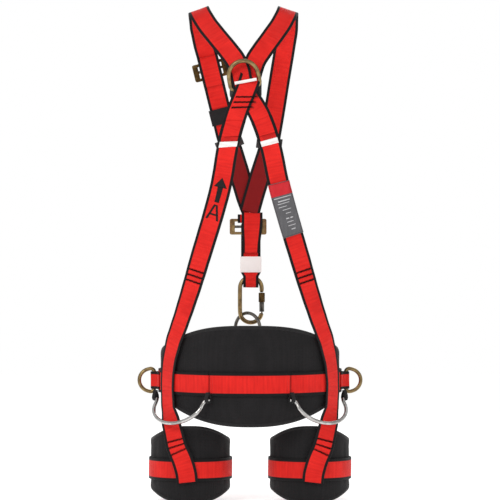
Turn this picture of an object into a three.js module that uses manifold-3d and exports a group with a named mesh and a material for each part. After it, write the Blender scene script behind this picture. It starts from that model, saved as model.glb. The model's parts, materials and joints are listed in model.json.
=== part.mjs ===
// Full-body safety harness with a padded work-positioning belt, standing as it is worn.
// Millimetres, +Z up, the wearer faces +Y, so -X is the wearer's left.
// Heights below count from the bottom of the leg pads. The group at the end moves the
// origin up to the point midway between the wearer's shoulders.
import * as THREE from "three";
import { mergeVertices } from "three/addons/utils/BufferGeometryUtils.js";
import Module from "manifold-3d";

// ---- driving dimensions ----
const webWidth = 45;
const beltWidth = 48;
const webThickness = 2.2;
const clearance = 0.4;

const shoulderHeight = 1027;
const shoulderHalf = 94;
const shoulderLean = -14; // the shoulders hang a little to the wearer's left
const leanStart = 700;

const dorsalHeight = 858;
const dorsalCentreX = -9;
const dorsalDepth = 114;
const dorsalRingWidth = 70;
const dorsalRingHeight = 66;
const dorsalRodRadius = 4.5;
const dorsalTilt = THREE.MathUtils.degToRad(10.6);
const dorsalLean = THREE.MathUtils.degToRad(16);
const dorsalBunch = 38; // the webbing is gathered to this width inside the ring

const waistHalfWidth = 190;
const waistHalfDepth = 128;
const waistPadThickness = 12;
const waistPadTop = 363;
const waistPadBottom = 162;
const beltHeight = 246;

const legCentreX = 125;
const legRadius = 85;
const legPadThickness = 10;
const legPadTop = 155;
const legBandHeight = 67;

const frontDepth = 116;
const chestHeight = 573;
const chestX = -1;
const chestDepth = 131;

const carabinerX = 1.8;
const carabinerWidth = 56;
const carabinerHeight = 107;
const carabinerRod = 4.6;
const carabinerTop = 465;

const ventralX = -5;
const ringBelowCarabiner = 29.2; // from the middle of its foot to the middle of the ring's bar
const ventralRingWidth = 76;
const ventralRingHeight = 58;
const ventralRodRadius = 3.7;

const sideRingHeight = 56;
const sideRingReach = 40;
const sideRodRadius = 4;
const sideBarX = 201;

const hipRodRadius = 4;
const hipDrop = 49;
const hipOut = 34.5;

// ---- helpers ----
const wasm = await Module();
wasm.setup();
const v = (x, y, z) => new THREE.Vector3(x, y, z);
const up = v(0, 0, 1);
const right = v(1, 0, 0);
const rearward = v(0, -1, 0);
const forward = v(0, 1, 0);
const layer = webThickness + clearance; // from one webbing layer's middle to the next
const leanAt = (height) =>
  (shoulderLean * Math.max(0, height - leanStart)) / (shoulderHeight - leanStart);

const steel = (color, roughness = 0.35) =>
  new THREE.MeshStandardMaterial({ color, roughness, metalness: 0.9 });
const cloth = (color, roughness = 0.85) =>
  new THREE.MeshStandardMaterial({ color, roughness, metalness: 0 });
const redWebbing = () => cloth(0xe8281f);
const blackFabric = () => cloth(0x1b181a, 0.95);
const blackPlastic = () => cloth(0x151515, 0.5);
const whiteTape = () => cloth(0xe9e6e2, 0.7);
const zincSteel = () => steel(0x8a7a5c);
const greySteel = () => steel(0x6f6c68);
const chrome = () => steel(0xc4c2c0, 0.12);

const harness = new THREE.Group();
harness.name = "safety_harness";
harness.position.z = -shoulderHeight;

function piece(name, geometry, material, parent = harness) {
  const mesh = new THREE.Mesh(geometry, material);
  mesh.name = name;
  parent.add(mesh);
  return mesh;
}

// A closed three.js geometry as a manifold-3d solid, and back.
function solidOf(geometry) {
  const bare = geometry.clone();
  bare.deleteAttribute("normal");
  bare.deleteAttribute("uv");
  const merged = mergeVertices(bare, 1e-4);
  const mesh = new wasm.Mesh({
    numProp: 3,
    vertProperties: new Float32Array(merged.attributes.position.array),
    triVerts: new Uint32Array(merged.index.array),
  });
  return new wasm.Manifold(mesh);
}

function geometryOf(solid) {
  const mesh = solid.getMesh();
  const geometry = new THREE.BufferGeometry();
  geometry.setAttribute("position", new THREE.BufferAttribute(mesh.vertProperties, 3));
  geometry.setIndex(new THREE.BufferAttribute(mesh.triVerts, 1));
  return geometry;
}

// A closed body that carries a convex section along stations. Each station holds a point, the
// direction of travel, the direction across and the width; the section is given in shares of
// the width across and in millimetres outwards.
function sweep(section, stations, closed = false) {
  const positions = [];
  const index = [];
  const n = section.length;
  for (const { at, across, out, width } of stations) {
    for (const [a, b] of section) {
      positions.push(
        ...at.clone().addScaledVector(across, a * width).addScaledVector(out, b).toArray(),
      );
    }
  }
  const rings = closed ? stations.length : stations.length - 1;
  for (let i = 0; i < rings; i++) {
    const from = i * n;
    const to = ((i + 1) % stations.length) * n;
    for (let j = 0; j < n; j++) {
      const k = (j + 1) % n;
      index.push(from + j, from + k, to + k, from + j, to + k, to + j);
    }
  }
  if (!closed) {
    const last = (stations.length - 1) * n;
    for (let j = 1; j < n - 1; j++) {
      index.push(0, j + 1, j, last, last + j, last + j + 1);
    }
  }
  const geometry = new THREE.BufferGeometry();
  geometry.setAttribute("position", new THREE.Float32BufferAttribute(positions, 3));
  geometry.setIndex(index);
  return geometry;
}

const flatSection = (thickness) => [
  [-0.5, -thickness / 2],
  [0.5, -thickness / 2],
  [0.5, thickness / 2],
  [-0.5, thickness / 2],
];

function roundSection(radius, sides = 8) {
  return Array.from({ length: sides }, (_, i) => {
    const angle = ((i + 0.5) / sides) * 2 * Math.PI;
    return [radius * Math.cos(angle), radius * Math.sin(angle)];
  });
}

// A flat strip along a smooth line. Each point is { at, out, width }, with out the side that
// faces away from the wearer. The strip's end cuts are square to its run.
function stripStations(points, steps = 3) {
  const curve = new THREE.CatmullRomCurve3(points.map((p) => p.at));
  const count = (points.length - 1) * steps;
  return Array.from({ length: count + 1 }, (_, i) => {
    const t = i / count;
    const place = t * (points.length - 1);
    const from = Math.min(Math.floor(place), points.length - 2);
    const share = place - from;
    const travel = curve.getTangent(t);
    const facing = points[from].out.clone().lerp(points[from + 1].out, share);
    const across = facing.cross(travel).normalize();
    const width = THREE.MathUtils.lerp(
      points[from].width ?? webWidth,
      points[from + 1].width ?? webWidth,
      share,
    );
    return { at: curve.getPoint(t), across, out: travel.clone().cross(across), width };
  });
}

function strip(points, thickness = webThickness, steps = 3) {
  return sweep(flatSection(thickness), stripStations(points, steps));
}

// Part of a strip, lifted off its outer face: what is sewn or printed on the webbing.
function patch(points, from, to, lift, width, thickness, count = 4) {
  const stations = stripStations(points);
  const chosen = Array.from({ length: count + 1 }, (_, i) => {
    const place = THREE.MathUtils.lerp(from, to, i / count) * (stations.length - 1);
    const a = stations[Math.floor(place)];
    const b = stations[Math.min(Math.floor(place) + 1, stations.length - 1)];
    const share = place - Math.floor(place);
    const out = a.out.clone().lerp(b.out, share).normalize();
    const at = a.at.clone().lerp(b.at, share).addScaledVector(out, lift);
    return { at, across: a.across.clone().lerp(b.across, share).normalize(), out, width };
  });
  return sweep(flatSection(thickness), chosen);
}

// A round rod along points that lie in one plane, whose normal is given.
function rod(points, radius, normal, closed = false) {
  const stations = points.map((at, i) => {
    const before = points[closed ? (i + points.length - 1) % points.length : Math.max(i - 1, 0)];
    const after = points[closed ? (i + 1) % points.length : Math.min(i + 1, points.length - 1)];
    const travel = after.clone().sub(before).normalize();
    return { at, across: normal, out: travel.cross(normal).normalize(), width: 1 };
  });
  return sweep(roundSection(radius), stations, closed);
}

// Webbing folded round a bar. It comes in on the facing side, goes round and leaves on the
// other side; `along` points away from the bar, and the two layers lie together beyond it.
// A bar that slides has its play inside the fold.
function foldStations(bar, barRadius, along, facing, lengthIn, lengthOut, width, play = 0) {
  const reach = barRadius + clearance + webThickness / 2;
  const together = layer / 2;
  const place = (run, lift) =>
    bar.clone().addScaledVector(along, run).addScaledVector(facing, lift);
  const leg = (length, side) => [
    play ? place(play, side * reach) : place(reach * 1.1, side * reach * 0.8),
    play ? place(play + reach * 1.6, side * together) : place(reach * 2.4, side * together),
    place(length, side * together),
  ];
  const bend = Array.from({ length: 5 }, (_, i) => {
    const angle = (i / 4) * Math.PI;
    return place(-reach * Math.sin(angle), reach * Math.cos(angle));
  });
  const line = [...leg(lengthIn, 1).reverse(), ...bend, ...leg(lengthOut, -1)];
  const across = along.clone().cross(facing).normalize();
  return line.map((at, i) => {
    const next = line[Math.min(i + 1, line.length - 1)];
    const travel = next.clone().sub(line[Math.max(i - 1, 0)]).normalize();
    return { at, across, out: travel.cross(across).normalize(), width };
  });
}

function foldRound(...args) {
  return sweep(flatSection(webThickness), foldStations(...args));
}

// The centre line of a D-shaped ring, bar at the bottom along X, bow up along Z.
function dRingLine(width, height, radius) {
  const w = width / 2 - radius;
  const top = height - radius;
  const corner = radius * 1.8;
  const outline = new THREE.Path();
  outline.moveTo(-w + corner, 0);
  outline.lineTo(w - corner, 0);
  outline.absarc(w - corner, corner, corner, -Math.PI / 2, 0);
  outline.lineTo(w, top - radius - w);
  outline.absarc(0, top - radius - w, w, 0, Math.PI);
  outline.lineTo(-w, corner);
  outline.absarc(-w + corner, corner, corner, Math.PI, 1.5 * Math.PI);
  const flat = outline.getPoints(4);
  const kept = flat.filter((p, i) => p.distanceTo(flat[(i + 1) % flat.length]) > 0.01);
  return kept.map((p) => v(p.x, 0, p.y));
}

function dRing(width, height, radius) {
  return rod(dRingLine(width, height, radius), radius, forward, true);
}

// A flat plate in the XZ plane with rounded corners and windows, its thickness along Y.
function plate(width, height, corner, thickness, windows) {
  const rounded = (path, x, z, w, h, r) => {
    path.moveTo(x - w / 2 + r, z - h / 2);
    path.lineTo(x + w / 2 - r, z - h / 2);
    path.absarc(x + w / 2 - r, z - h / 2 + r, r, -Math.PI / 2, 0);
    path.lineTo(x + w / 2, z + h / 2 - r);
    path.absarc(x + w / 2 - r, z + h / 2 - r, r, 0, Math.PI / 2);
    path.lineTo(x - w / 2 + r, z + h / 2);
    path.absarc(x - w / 2 + r, z + h / 2 - r, r, Math.PI / 2, Math.PI);
    path.lineTo(x - w / 2, z - h / 2 + r);
    path.absarc(x - w / 2 + r, z - h / 2 + r, r, Math.PI, 1.5 * Math.PI);
    return path;
  };
  const shape = rounded(new THREE.Shape(), 0, 0, width, height, corner);
  for (const { z, w, h } of windows) {
    shape.holes.push(rounded(new THREE.Path(), 0, z, w, h, 1.5));
  }
  const geometry = new THREE.ExtrudeGeometry(shape, {
    depth: thickness,
    bevelEnabled: false,
    curveSegments: 2,
  });
  geometry.translate(0, 0, -thickness / 2);
  geometry.rotateX(Math.PI / 2);
  return geometry;
}

// A place on an ellipse round the wearer: angle 0 is the middle of the back and turns to +X.
function onEllipse(a, b, angle, height, centreX = 0) {
  return {
    at: v(centreX + a * Math.sin(angle), -b * Math.cos(angle), height),
    out: v(Math.sin(angle) / a, -Math.cos(angle) / b, 0).normalize(),
  };
}
const degrees = THREE.MathUtils.degToRad;

// A strip round an ellipse with its width held upright, from a smaller angle to a larger one.
function hoop(a, b, from, to, count, heightAt, widthAt, thickness, centreX = 0) {
  const stations = Array.from({ length: count + 1 }, (_, i) => {
    const angle = THREE.MathUtils.lerp(from, to, i / count);
    const { at, out } = onEllipse(a, b, angle, heightAt(angle), centreX);
    return { at, across: up, out, width: widthAt(angle) };
  });
  return sweep(flatSection(thickness), stations);
}

// A flat sleeve round webbing: a rectangular tube along Z.
function sleeve(width, depth, height, wall) {
  const box = (path, w, d) => {
    path.moveTo(-w / 2, -d / 2);
    path.lineTo(w / 2, -d / 2);
    path.lineTo(w / 2, d / 2);
    path.lineTo(-w / 2, d / 2);
    path.lineTo(-w / 2, -d / 2);
    return path;
  };
  const shape = box(new THREE.Shape(), width + 2 * wall, depth + 2 * wall);
  shape.holes.push(box(new THREE.Path(), width, depth));
  const geometry = new THREE.ExtrudeGeometry(shape, { depth: height, bevelEnabled: false });
  return geometry.translate(0, 0, -height / 2);
}

// ---- shoulder straps over the back ----
const dorsalFace = dorsalDepth + dorsalRodRadius + clearance + webThickness / 2;
const plateFace = dorsalDepth - dorsalRodRadius - clearance;
const plateThickness = 4;

function upperBackStrap(side, name, depth) {
  const x = (share, height) => side * share + leanAt(height);
  const points = [
    { at: v(x(92, 992), 45, 990), out: v(side * 0.22, 0.85, 0.5) },
    { at: v(x(94, 1018), 25, 1017), out: v(side * 0.3, 0.45, 0.85) },
    { at: v(x(shoulderHalf, shoulderHeight), 0, shoulderHeight), out: v(side * 0.33, 0, 0.94) },
    { at: v(x(90, 1018), -26, 1017), out: v(side * 0.3, -0.45, 0.85) },
    { at: v(x(77, 995), -50, 993), out: v(side * 0.15, -0.85, 0.5) },
    { at: v(x(50, 955), -84, 955), out: v(0, -0.95, 0.3) },
    { at: v(x(20, 912), -depth + 4, 912), out: rearward.clone(), width: 42 },
    { at: v(x(9, 878), -depth - 0.3, 880), out: rearward.clone(), width: dorsalBunch },
  ];
  return piece(name, strip(points, webThickness, 2), redWebbing());
}
upperBackStrap(1, "back_strap_right", plateFace + clearance + webThickness / 2);
upperBackStrap(-1, "back_strap_left", plateFace + clearance + webThickness / 2 + layer);

const dorsalPlate = piece(
  "dorsal_plate",
  plate(66, 46, 8, plateThickness, [
    { z: 15, w: 54, h: 4 },
    { z: -15, w: 54, h: 4 },
  ]),
  blackPlastic(),
);
dorsalPlate.position.set(dorsalCentreX, -plateFace + plateThickness / 2, dorsalHeight);

const dorsalRing = piece(
  "dorsal_ring",
  dRing(dorsalRingWidth, dorsalRingHeight, dorsalRodRadius),
  zincSteel(),
);
dorsalRing.position.set(dorsalCentreX, -dorsalDepth, dorsalHeight);
dorsalRing.rotation.set(dorsalLean, -dorsalTilt, 0, "YXZ");

const dorsalBandPlay = 3; // each side, inside the ring's legs
const dorsalBandWidth = dorsalRingWidth - 4 * dorsalRodRadius - 2 * dorsalBandPlay;
const dorsalBand = piece(
  "dorsal_band",
  new THREE.BoxGeometry(dorsalBandWidth, webThickness, 6),
  whiteTape(),
);
dorsalBand.position.set(
  dorsalCentreX,
  -(dorsalFace + 2 * layer),
  dorsalHeight + 12,
);
dorsalBand.rotation.y = -dorsalTilt;

// ---- straps from the crossing down to the legs ----
const onLegBand = legRadius + 2 * layer - 0.3;
const strapOnBelt = 2 * layer - 1; // how far the hip straps stand off the pad's outer face
function hipPlace(x, height) {
  const a = waistHalfWidth + strapOnBelt;
  const b = waistHalfDepth + strapOnBelt;
  const angle = Math.asin(x / a);
  return onEllipse(a, b, angle, height);
}

function downStrap(side, name, depth) {
  const x = (share, height) => side * share + leanAt(height);
  const upper = [
    { at: v(dorsalCentreX - side * 6, -depth, 866), out: rearward.clone(), width: dorsalBunch },
    { at: v(dorsalCentreX + side * 1, -depth, 848), out: rearward.clone(), width: dorsalBunch },
    { at: v(x(23, 804), -depth + 1, 804), out: rearward.clone() },
    { at: v(x(43, 741), -117, 741), out: v(side * 0.05, -1, 0) },
    { at: v(x(61, 651), -110, 651), out: v(side * 0.15, -1, 0) },
    { at: v(side * 104, -97, 502), out: v(side * 0.35, -0.95, 0) },
    { at: v(side * 136, -88, 397), out: v(side * 0.6, -0.85, 0) },
    hipPlace(side * 158, 335),
  ];
  piece(`${name}_upper`, strip(upper), redWebbing());
  const joint = hipPlace(side * 158.5, 333);
  const lower = [
    joint,
    hipPlace(side * 168, 290),
    hipPlace(side * 172, 245),
    hipPlace(side * 171, 212),
    hipPlace(side * 169.5, 192),
    { at: v(side * 165, -74, 170), out: v(side * 0.5, -0.87, 0) },
    { at: v(side * 159.5, -82, 148), out: v(side * 0.4, -0.92, 0) },
    { at: v(side * 151, -legRadius - 2.5, 114), out: v(side * 0.22, -0.98, 0) },
    { at: v(side * 140, -onLegBand, 88), out: v(side * 0.1, -1, 0) },
    { at: v(side * 132, -onLegBand + 0.5, 60), out: rearward.clone() },
    { at: v(side * 130, -onLegBand + 0.5, 42), out: rearward.clone() },
  ];
  piece(`${name}_lower`, strip(lower), redWebbing());
  return upper;
}
const leftDown = downStrap(-1, "down_strap_left", dorsalFace + layer);
const rightDown = downStrap(1, "down_strap_right", dorsalFace);

const tapeThickness = 1;
const onWebbing = webThickness / 2 + clearance + tapeThickness / 2;
const tape = (name, strap, from, to, width, material) =>
  piece(name, patch(strap, from, to, onWebbing, width, tapeThickness, 2), material);
tape("fall_indicator_left", leftDown, 0.418, 0.437, webWidth - 2, whiteTape());
tape("fall_indicator_right", rightDown, 0.41, 0.43, webWidth - 2, whiteTape());
piece(
  "label_right",
  patch(rightDown, 0.555, 0.665, onWebbing + 0.9, webWidth + 1, tapeThickness, 6),
  cloth(0x6d6d70),
);


// ---- slide-bar buckles ----
const buckleDepth = 3;
const sliderRadius = 3;
const sliderLift = buckleDepth / 2 + clearance + sliderRadius;
const sliderTravel = 4;
const sliderPlay = sliderTravel + clearance;
const railHeight = 6;

// Local X runs across the webbing, Z along it and Y faces away from the wearer.
function buckle(name, origin, along, facing, width, height, webbing) {
  const group = new THREE.Group();
  const across = facing.clone().cross(along).normalize();
  group.matrixAutoUpdate = false;
  group.matrix.makeBasis(across, facing, along).setPosition(origin);
  harness.add(group);
  const window = { z: 0, w: webbing + 6, h: height - 2 * railHeight };
  piece(`${name}_frame`, plate(width, height, 4, buckleDepth, [window]), zincSteel(), group);
  const bar = new THREE.CylinderGeometry(sliderRadius, sliderRadius, width - 4, 8);
  bar.rotateZ(Math.PI / 2);
  const slider = piece(`${name}_slide_bar`, bar, greySteel(), group);
  slider.position.y = sliderLift;
  const place = (run, lift) =>
    origin.clone().addScaledVector(along, run).addScaledVector(facing, lift);
  return { rail: place(height / 2 - railHeight / 2, 0), slider: place(0, sliderLift), place };
}
const railRadius = Math.hypot(railHeight, buckleDepth) / 2;

// ---- front straps, shoulder adjuster and chest buckle ----
const chestFrameHeight = 34;
const chestFold = 12;
const chestTop = chestHeight + chestFrameHeight / 2 - railHeight / 2 + chestFold + webThickness + 2.6;
function frontLine(side, depth) {
  const x = (share, height) => side * share + leanAt(height);
  return [
    { at: v(x(91.5, 988), 46.5, 988), out: v(side * 0.22, 0.85, 0.5) },
    { at: v(x(82, 940), 78, 940), out: v(side * 0.1, 0.95, 0.4) },
    { at: v(x(71, 887), 98, 887), out: v(0, 1, 0.2) },
    { at: v(x(58, 822), depth - 5, 822), out: forward.clone() },
    { at: v(x(45, 760), depth - 1, 760), out: forward.clone() },
    { at: v(side * 40, depth, 741), out: forward.clone() },
    { at: v(side * 21, depth + 2, 680), out: forward.clone() },
    { at: v(chestX + side * 7, depth + 7, 630), out: forward.clone(), width: 40 },
    { at: v(chestX, depth + 9, chestTop), out: forward.clone(), width: 34 },
  ];
}
piece("front_strap_right", strip(frontLine(1, frontDepth), webThickness, 2), redWebbing());

const leftFront = frontLine(-1, frontDepth + layer + 1.6);
const adjusterHeight = 906;
const adjusterWidth = 74;
const adjusterLength = 38;
const adjusterAlong = leftFront[1].at.clone().sub(leftFront[3].at).normalize();
const adjusterFacing = forward.clone().projectOnPlane(adjusterAlong).normalize();
const adjusterOrigin = leftFront[1].at
  .clone()
  .lerp(leftFront[3].at, (940 - adjusterHeight) / (940 - 822))
  .addScaledVector(adjusterFacing, 1);
const adjuster = buckle(
  "shoulder_adjuster",
  adjusterOrigin,
  adjusterAlong,
  adjusterFacing,
  adjusterWidth,
  adjusterLength,
  webWidth,
);
const adjusterDown = adjusterAlong.clone().negate();
const foldLength = 15;
const upperFold = foldStations(
  adjuster.rail,
  railRadius,
  adjusterAlong,
  adjusterFacing,
  foldLength,
  foldLength,
  webWidth,
);
const upperRun = stripStations(
  [
    leftFront[0],
    { at: leftFront[0].at.clone().lerp(upperFold[0].at, 0.55).add(v(-1, 4, 0)), out: v(-0.15, 0.9, 0.4) },
    { at: upperFold[0].at, out: adjusterFacing },
  ],
  2,
);
piece(
  "front_strap_left_upper",
  sweep(flatSection(webThickness), [...upperRun.slice(0, -1), ...upperFold]),
  redWebbing(),
);

const tailLength = 106;
const lowerFold = foldStations(
  adjuster.slider,
  sliderRadius,
  adjusterDown,
  adjusterFacing,
  tailLength,
  34,
  webWidth,
  sliderPlay,
);
const inward = (p) => ({ ...p, out: p.out.clone().negate() });
const lowerRun = stripStations(
  [
    { at: lowerFold.at(-1).at, out: adjusterFacing.clone().negate() },
    ...leftFront.slice(3).map(inward),
  ],
  2,
);
piece(
  "front_strap_left_lower",
  sweep(flatSection(webThickness), [...lowerFold, ...lowerRun.slice(1)]),
  redWebbing(),
);

// Sleeves that hold the free webbing against the strap.
const keeperHeight = 25;
function keeper(name, line, share, width, depth, height, wall, material) {
  const index = share * (line.length - 1);
  const from = line[Math.floor(index)].at;
  const to = line[Math.floor(index) + 1].at;
  const along = from.clone().sub(to).normalize();
  const facing = forward.clone().projectOnPlane(along).normalize();
  const across = facing.clone().cross(along).normalize();
  const mesh = piece(name, sleeve(width, depth, height, wall), material);
  const at = from.clone().lerp(to, index - Math.floor(index));
  mesh.quaternion.setFromRotationMatrix(new THREE.Matrix4().makeBasis(across, facing, along));
  mesh.position.copy(at);
  return mesh;
}
keeper("keeper_left", leftFront, 0.56, webWidth + 9, webThickness + 1.4, keeperHeight, 2.5, blackPlastic());
keeper("keeper_right", frontLine(1, frontDepth), 0.56, webWidth + 5, webThickness + 1.4, keeperHeight, 2.5, blackPlastic());
keeper("elastic_keeper", leftFront, 0.4, webWidth + 3, 2 * layer + 1.4, 34, 1.2, blackFabric());

// ---- chest buckle, webbing loop and its wrap label ----
const chestLift = chestDepth - 2;
const chest = buckle(
  "chest_buckle",
  v(chestX - 3, chestLift, chestHeight),
  up,
  forward,
  79,
  chestFrameHeight,
  webWidth + 6,
);
piece(
  "chest_fold",
  foldRound(chest.rail, railRadius, up, forward, chestFold, chestFold, webWidth),
  redWebbing(),
);

const webY = chest.slider.y; // the chest loop, the carabiner and the ventral ring hang in this plane
const swingRoom = 1.3; // lets the carabiner swing in its loop
const loopReach = carabinerRod + swingRoom + webThickness / 2;
const loopBottom = 443;
const loopNarrow = 33;
const loopWide = webWidth - 3;
function chestLoop() {
  const topReach = sliderRadius + clearance + webThickness / 2;
  const bend = (height, reach, from) =>
    Array.from({ length: 5 }, (_, i) => {
      const angle = from + (i / 4) * Math.PI;
      return [reach * Math.cos(angle), height + reach * Math.sin(angle)];
    });
  const side = (sign) => [
    [sign * topReach, chestHeight - sliderPlay],
    [(sign * layer) / 2, chestHeight - sliderPlay - 7],
    [(sign * layer) / 2, carabinerTop + 9],
    [sign * loopReach, carabinerTop + 1],
  ];
  const line = [
    ...bend(chestHeight, topReach, 0),
    ...side(-1),
    ...bend(loopBottom + loopReach, loopReach, Math.PI),
    ...side(1).reverse(),
  ];
  const stations = line.map(([y, z], i) => {
    const before = line[(i + line.length - 1) % line.length];
    const after = line[(i + 1) % line.length];
    const travel = v(0, after[0] - before[0], after[1] - before[1]).normalize();
    const width = z > carabinerTop + 5 ? loopWide : loopNarrow;
    return { at: v(carabinerX, webY + y, z), across: right, out: travel.cross(right), width };
  });
  return sweep(flatSection(webThickness), stations, true);
}
piece("chest_loop", chestLoop(), redWebbing());
const wrapHeight = 34;
const wrap = piece(
  "chest_wrap_label",
  sleeve(loopWide + 1.6, 2 * layer + 0.4, wrapHeight, 1),
  whiteTape(),
);
wrap.position.set(carabinerX, webY, carabinerTop + 27);

// ---- carabiner: oval body, sprung gate on a pin, screw sleeve ----
const ovalRadius = carabinerWidth / 2 - carabinerRod;
const ovalLength = carabinerHeight - 2 * carabinerRod; // between the rod's middles
const gatePinDrop = ovalLength - ovalRadius - 2;
const noseDrop = 32.8;
const gateGap = 0.6;
const gateOuter = 5.2;
const gateInner = 3.6;
const gatePinRadius = 1.2;
const gatePinFit = 0.12;
const sleeveOuter = 6.8;
const sleeveInner = 5.6;
const sleeveLength = 20;

const carabiner = new THREE.Group();
carabiner.position.set(carabinerX, webY, carabinerTop);
harness.add(carabiner);

function cylinder(radius, length, axis, sides) {
  const geometry = new THREE.CylinderGeometry(radius, radius, length, sides);
  if (axis === "y") return geometry;
  return axis === "z" ? geometry.rotateX(Math.PI / 2) : geometry.rotateZ(Math.PI / 2);
}

function tube(outer, inner, bottom, top, closedTop, sides = 16) {
  const profile = closedTop
    ? [[inner, bottom], [outer, bottom], [outer, top], [0, top], [0, top - 3], [inner, top - 3], [inner, bottom]]
    : [[inner, bottom], [outer, bottom], [outer, top], [inner, top], [inner, bottom]];
  return new THREE.LatheGeometry(
    profile.map(([r, z]) => new THREE.Vector2(r, z)),
    sides,
  ).rotateX(Math.PI / 2);
}

function carabinerBody() {
  const line = [];
  const arc = (drop, from, to, count) => {
    for (let i = 0; i <= count; i++) {
      const angle = THREE.MathUtils.lerp(from, to, i / count);
      line.push(v(ovalRadius * Math.cos(angle), 0, -drop + ovalRadius * Math.sin(angle)));
    }
  };
  line.push(v(ovalRadius, 0, -noseDrop));
  arc(ovalRadius, 0, Math.PI, 12);
  arc(ovalLength - ovalRadius, Math.PI, 2 * Math.PI - degrees(9), 12);
  const body = solidOf(rod(line, carabinerRod, forward));
  const tongue = solidOf(new THREE.BoxGeometry(2.6, 3, 12).translate(ovalRadius, 0, -gatePinDrop - 2.5));
  const hole = solidOf(cylinder(gatePinRadius + gatePinFit, 20, "y", 10).translate(ovalRadius, 0, -gatePinDrop));
  return geometryOf(body.add(tongue).subtract(hole));
}
piece("carabiner_body", carabinerBody(), zincSteel(), carabiner);

function carabinerGate() {
  const shell = solidOf(tube(gateOuter, gateInner, -gatePinDrop - 2, -noseDrop - gateGap, true));
  const hole = solidOf(cylinder(gatePinRadius + gatePinFit, 20, "y", 10).translate(0, 0, -gatePinDrop));
  return geometryOf(shell.subtract(hole)).translate(ovalRadius, 0, 0);
}
piece("carabiner_gate", carabinerGate(), zincSteel(), carabiner);
piece(
  "gate_pin",
  cylinder(gatePinRadius, 2 * gateOuter - 0.4, "y", 10).translate(ovalRadius, 0, -gatePinDrop),
  greySteel(),
  carabiner,
);
const sleeveTop = -noseDrop - gateGap - 0.5;
piece(
  "locking_sleeve",
  tube(sleeveOuter, sleeveInner, sleeveTop - sleeveLength, sleeveTop, false, 20).translate(ovalRadius, 0, 0),
  steel(0x5a4d33, 0.45),
  carabiner,
);

const springCoil = 2.7;
const springWire = 0.5;
const springTurns = 6;
function gateSpring() {
  const bottom = -gatePinDrop + 4.6;
  const top = -noseDrop - gateGap - 4;
  const steps = springTurns * 8;
  const stations = Array.from({ length: steps + 1 }, (_, i) => {
    const angle = (i / 8) * 2 * Math.PI;
    const radial = v(Math.cos(angle), Math.sin(angle), 0);
    const rise = (top - bottom) / steps;
    const travel = v(-Math.sin(angle), Math.cos(angle), rise / (springCoil * (Math.PI / 4))).normalize();
    const at = radial.clone().multiplyScalar(springCoil).setZ(bottom + rise * i);
    return { at, across: radial, out: travel.cross(radial).normalize(), width: 1 };
  });
  return sweep(roundSection(springWire, 5), stations).translate(ovalRadius, 0, 0);
}
piece("gate_spring", gateSpring(), chrome(), carabiner);

// ---- ventral ring and the tab that holds it ----
const ventralHeight = carabinerTop - ovalLength - ringBelowCarabiner;
const ventralY = webY;
const ventralTurn = degrees(-38); // the ring stands across the carabiner that it is linked through
const ventralRing = piece(
  "ventral_ring",
  dRing(ventralRingWidth, ventralRingHeight, ventralRodRadius),
  greySteel(),
);
ventralRing.position.set(ventralX, ventralY, ventralHeight);
ventralRing.rotation.z = ventralTurn;

const tabLength = ventralHeight - beltHeight;
const tabWidth = 40;
const twistLength = 40;
function ventralTab() {
  const bar = v(ventralX, ventralY, ventralHeight);
  const down = up.clone().negate();
  const stations = foldStations(bar, ventralRodRadius, down, forward, tabLength, tabLength, tabWidth);
  const long = [];
  stations.forEach((station, i) => {
    long.push(station);
    const next = stations[i + 1];
    if (next && Math.abs(next.at.z - station.at.z) > twistLength) {
      for (const share of [0.3, 0.5, 0.7, 0.85]) {
        long.push({ ...station, at: station.at.clone().lerp(next.at, i === 0 ? share : 1 - share) });
        if (i > 0) long.splice(-1, 1, { ...next, at: station.at.clone().lerp(next.at, share) });
      }
    }
  });
  for (const station of long) {
    const drop = (ventralHeight - station.at.z) / twistLength;
    const turn = ventralTurn * (1 - THREE.MathUtils.smoothstep(drop, 0.1, 1));
    const arm = station.at.clone().sub(bar).applyAxisAngle(up, turn);
    station.at = bar.clone().add(arm);
    station.across = station.across.clone().applyAxisAngle(up, turn);
    station.out = station.out.clone().applyAxisAngle(up, turn);
  }
  return sweep(flatSection(webThickness), long);
}
piece("ventral_tab", ventralTab(), redWebbing());

// ---- waist pad and belt ----
const padEdge = degrees(96);
const padTopDrop = 48;
const padBottomRise = 58;
const cornerAngle = degrees(8);
const padTop = (angle) => waistPadTop - padTopDrop * Math.abs(Math.sin(angle)) ** 3;
const padBottom = (angle) => waistPadBottom + padBottomRise * Math.abs(Math.sin(angle)) ** 2.5;
function padCorner(angle) {
  const into = Math.max(0, (Math.abs(angle) - padEdge + cornerAngle) / cornerAngle);
  return 22 * (1 - Math.sqrt(1 - Math.min(into, 0.999) ** 2));
}
piece(
  "waist_pad",
  hoop(
    waistHalfWidth - waistPadThickness / 2,
    waistHalfDepth - waistPadThickness / 2,
    -padEdge,
    padEdge,
    32,
    (angle) => (padTop(angle) + padBottom(angle)) / 2,
    (angle) => padTop(angle) - padBottom(angle) - 2 * padCorner(angle),
    waistPadThickness,
  ),
  blackFabric(),
);

const beltOffset = clearance + webThickness / 2;
const beltA = waistHalfWidth + beltOffset;
const beltB = waistHalfDepth + beltOffset;
const frontRise = 8;
const beltAt = (angle) => beltHeight + frontRise * Math.sin(angle / 2) ** 2;
const panelEdge = degrees(26);
const sideEdge = degrees(80);
const endGap = degrees(0.25);
const beltPiece = (name, from, to, count) =>
  piece(
    name,
    hoop(beltA, beltB, from, to, count, beltAt, () => beltWidth, webThickness),
    redWebbing(),
  );
beltPiece("belt_centre", -panelEdge + endGap, panelEdge - endGap, 10);
beltPiece("belt_right", panelEdge + endGap, sideEdge, 8);
beltPiece("belt_left", -sideEdge, -panelEdge - endGap, 8);

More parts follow.
